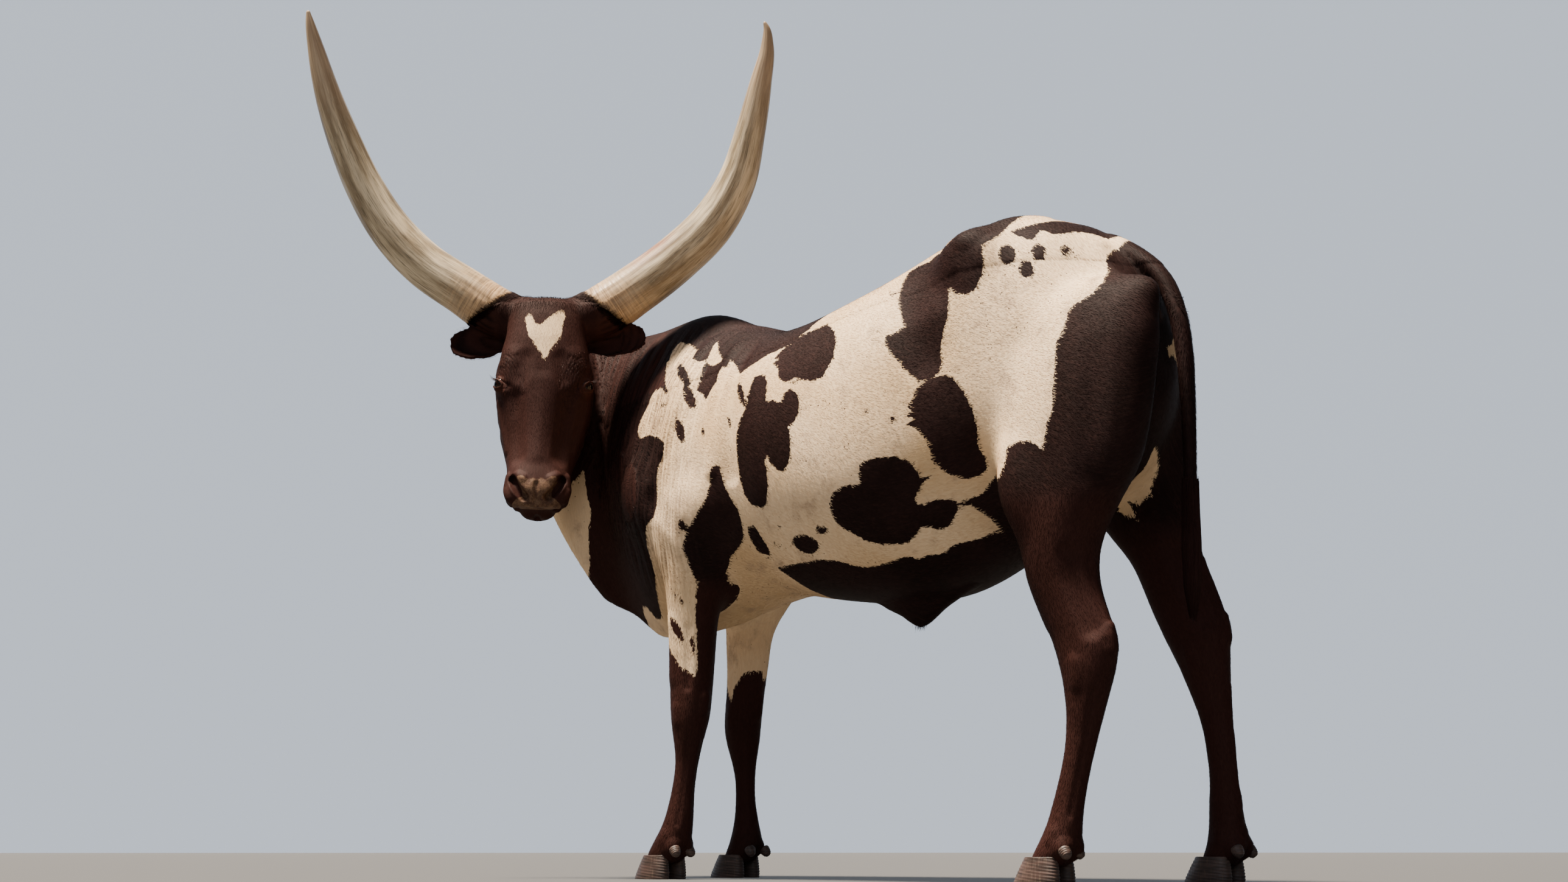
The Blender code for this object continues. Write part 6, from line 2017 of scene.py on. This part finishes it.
def build_hide(hair):
    """The skin with its markings, and all the hair that stands on it."""
    points, corners = thinned(*whole_skin())
    share = regions(points)
    along, _ = barrel_chart(points)
    legs = sum(share[name] for name in LEGS)
    warmth = 0.70 * between(-along, 0.50, 0.75) + 0.80 * np.clip(legs, 0.0, 1.0)
    warmth = warmth + 0.05 * share["head"] + 0.9 * share["ear"]
    columns = {
        "dark": dark_depth(points, share),
        "warm": np.clip(warmth, 0.0, 1.0) + 0.75 * lid_share(points),
        "bare": bare_share(points),
        # How deep in a nostril: the finish paints shade there.
        "hollow": hollow_share(points),
        # How deep in a wrinkle's groove: the finish paints shade there.
        "groove": wrinkles(*crease_chart(points))[0],
        "shade": np.full(len(points), 0.5),
    }
    chosen, lie = lie_charts(points, corners, share)
    hide = mesh_from("hide", points, corners, columns, {"lie": lie.reshape(-1, 2)}, hair)
    kept(hide, "coat", *FLESH)
    pieces = coat_tufts(points, corners, columns, chosen, lie, share, hair)

    chance = np.random.default_rng(7)
    switch = tail_switch_paths(2600, chance)
    places = np.column_stack([np.zeros(len(switch)), -switch[:, 0, 2]])
    pieces.append(long_hair("tail_switch_hair", switch, 0.00055, SURE, 0.3, 3, places, hair))
    lashes = lash_paths(chance)
    places = in_head(lashes[:, 0])[:, :2]
    pieces.append(long_hair("lashes", lashes, 0.00035, SURE, 0.0, 1, places, hair))
    fringe = ear_fringe_paths(420, chance)
    places = np.column_stack([np.zeros(len(fringe)), np.abs(in_head(fringe[:, 0])[:, 0])])
    pieces.append(long_hair("ear_fringe", fringe, 0.00022, SURE, 0.8, 2, places, hair))
    crown = crown_paths(2200, chance)
    places = in_head(crown[:, 0])[:, :2]
    pieces.append(long_hair("horn_root_hair", crown, 0.00065, SURE, 0.0, 1, places, hair))
    tip = sheath_paths(70, chance)
    places = np.column_stack([np.full(len(tip), 0.87), tip[:, 0, 1]])
    pieces.append(long_hair("sheath_hair", tip, 0.00045, SURE, 0.0, 0, places, hair))
    for piece in pieces:
        kept(piece, "coat")


def build_horns(keratin):
    """Both horns, each with its grain map and its stain."""
    for name, run, side in (("horn_left", HORN_LEFT, 1.0), ("horn_right", HORN_RIGHT, -1.0)):
        points, faces, distance, turn = grown_horn(run, side)
        made = mesh_object(name + "_grown", points - MIDDLE, faces)
        shape = made.data
        shade_smooth(shape)
        corner = np.empty(len(shape.loops), dtype=np.int32)
        shape.loops.foreach_get("vertex_index", corner)
        around = turn[corner]
        loops = np.array([polygon.loop_start for polygon in shape.polygons])
        count = np.array([polygon.loop_total for polygon in shape.polygons])
        of_face = np.repeat(np.arange(len(loops)), count)
        most = np.maximum.reduceat(around, loops)
        around = np.where((most[of_face] > 5.5) & (around < 1.0), around + 2.0 * math.pi, around)
        grain = shape.uv_layers.new(name="grain")
        lengths = np.column_stack([around * 0.05 + 3.0 * side, distance[corner]])
        grain.data.foreach_set("uv", lengths.astype(np.float32).ravel())
        rings = points[:, 2].reshape(-1, HORN_AROUND)
        high = ((rings - rings.mean(axis=1)[:, None]) / 0.05).ravel()
        stain = np.exp(-((distance - 0.28) / 0.07) ** 2) * between(high, 0.15, 0.70) * (side > 0.0)
        give_numbers(shape, {"from_root": distance, "stain": stain})
        shape.materials.append(keratin)
        kept(made, "horn", name)


def build_feet(material):
    """Both halves of each hoof and its dewclaws."""
    claws, knobs, claw_nodes, knob_nodes = [], [], [], []
    for leg, (sole, knob, (outer, inner), high) in FEET.items():
        for name, side, apart in (("inner", -1.0, inner), ("outer", 1.0, outer)):
            turned = side if leg.endswith("left") else -side
            claws.append(claw_rings(sole, turned))
            knobs.append(knob_rings((knob[0] + turned * apart, knob[1], high), turned))
            claw_nodes.append(name + "_claw_" + leg)
            knob_nodes.append(name + "_dewclaw_" + leg)
    kept(rings_piece("hooves", claws, material), "hoof", *claw_nodes)
    kept(rings_piece("dewclaws", knobs, material), "hoof", *knob_nodes)


def build_eyes(material):
    """Both eyeballs in their sockets."""
    for name, side in (("eye_left", 1.0), ("eye_right", -1.0)):
        kept(eye_piece(name + "_ball", side, material), "eye", name)


# The light: each sun's name, the side it shines from, its colour, its strength and how many
# degrees wide it is; and one soft lamp for the face, by its place, its aim, watts and size.
SUNS = (
    ("key", (0.27, -0.15, 0.95), "fff0dc", 19.0, 12.0),
    ("open_sky", (0.62, 0.30, 0.72), "dfe6f2", 0.8, 70.0),
)
FACE_FILL = ((4.0, 2.2, 1.6), (0.1, -0.2, 0.9), 7.0, 2.6)
FLOOR = [(-30, -30, 0), (30, -30, 0), (30, 30, 0), (-30, 30, 0)]
WALL = [(-30.0, 6.0, -0.5), (6.0, -30.0, -0.5), (6.0, -30.0, 24.0), (-30.0, 6.0, 24.0)]

# The camera of the picture: its lens on a sensor 36 mm wide, its place and its turn.
LENS_LENGTH = 46.99
CAMERA_PLACE = (3.4710, 3.1206, 0.080)
CAMERA_TILT = math.radians(101.1631)
CAMERA_HEADING = math.radians(131.0)


def put_in_scene(name, data, place, turn):
    """An object for a lamp or a camera, at its place and turned."""
    made = bpy.data.objects.new(name, data)
    bpy.context.scene.collection.objects.link(made)
    made.location = place
    made.rotation_euler = turn
    return made


def build_stage():
    """A dull floor, a pale wall behind the animal, lights and the camera of the picture."""
    floor = mesh_object("studio_floor", FLOOR, [(0, 1, 2, 3)])
    floor.data.materials.append(stage_material("studio_floor", "434240", "cfd6df", 0.07))
    place, aim, watts, size = FACE_FILL
    light = bpy.data.lights.new("face_fill", "AREA")
    light.energy = watts
    light.size = size
    turn = (Vector(aim) - Vector(place)).to_track_quat("-Z", "Y").to_euler()
    put_in_scene("face_fill", light, place, turn)
    for name, way, code, strength, spread in SUNS:
        sun = bpy.data.lights.new(name, "SUN")
        sun.energy = strength
        sun.color = colour(code)[:3]
        sun.angle = math.radians(spread)
        turn = Vector(way).to_track_quat("Z", "Y").to_euler()
        put_in_scene(name, sun, (0.0, 0.0, 0.0), turn)
    wall = mesh_object("studio_wall", WALL, [(0, 1, 2, 3)])
    wall.data.materials.append(stage_material("studio_wall", "9fa9b6", "a9b6c8", 0.9))
    surround = bpy.data.worlds.new("pale_surround")
    surround.use_nodes = True
    bpy.context.scene.world = surround
    set_inputs(surround.node_tree.nodes["Background"], {"Color": colour("ced2dc"), "Strength": 0.15})
    lens = bpy.data.cameras.new("camera")
    lens.sensor_width = 36.0
    lens.lens = LENS_LENGTH
    turn = (CAMERA_TILT, 0.0, CAMERA_HEADING)
    bpy.context.scene.camera = put_in_scene("camera", lens, CAMERA_PLACE, turn)


build_hide(coat_material())
build_horns(horn_material())
build_feet(hoof_material())
build_eyes(eye_material())
build_stage()
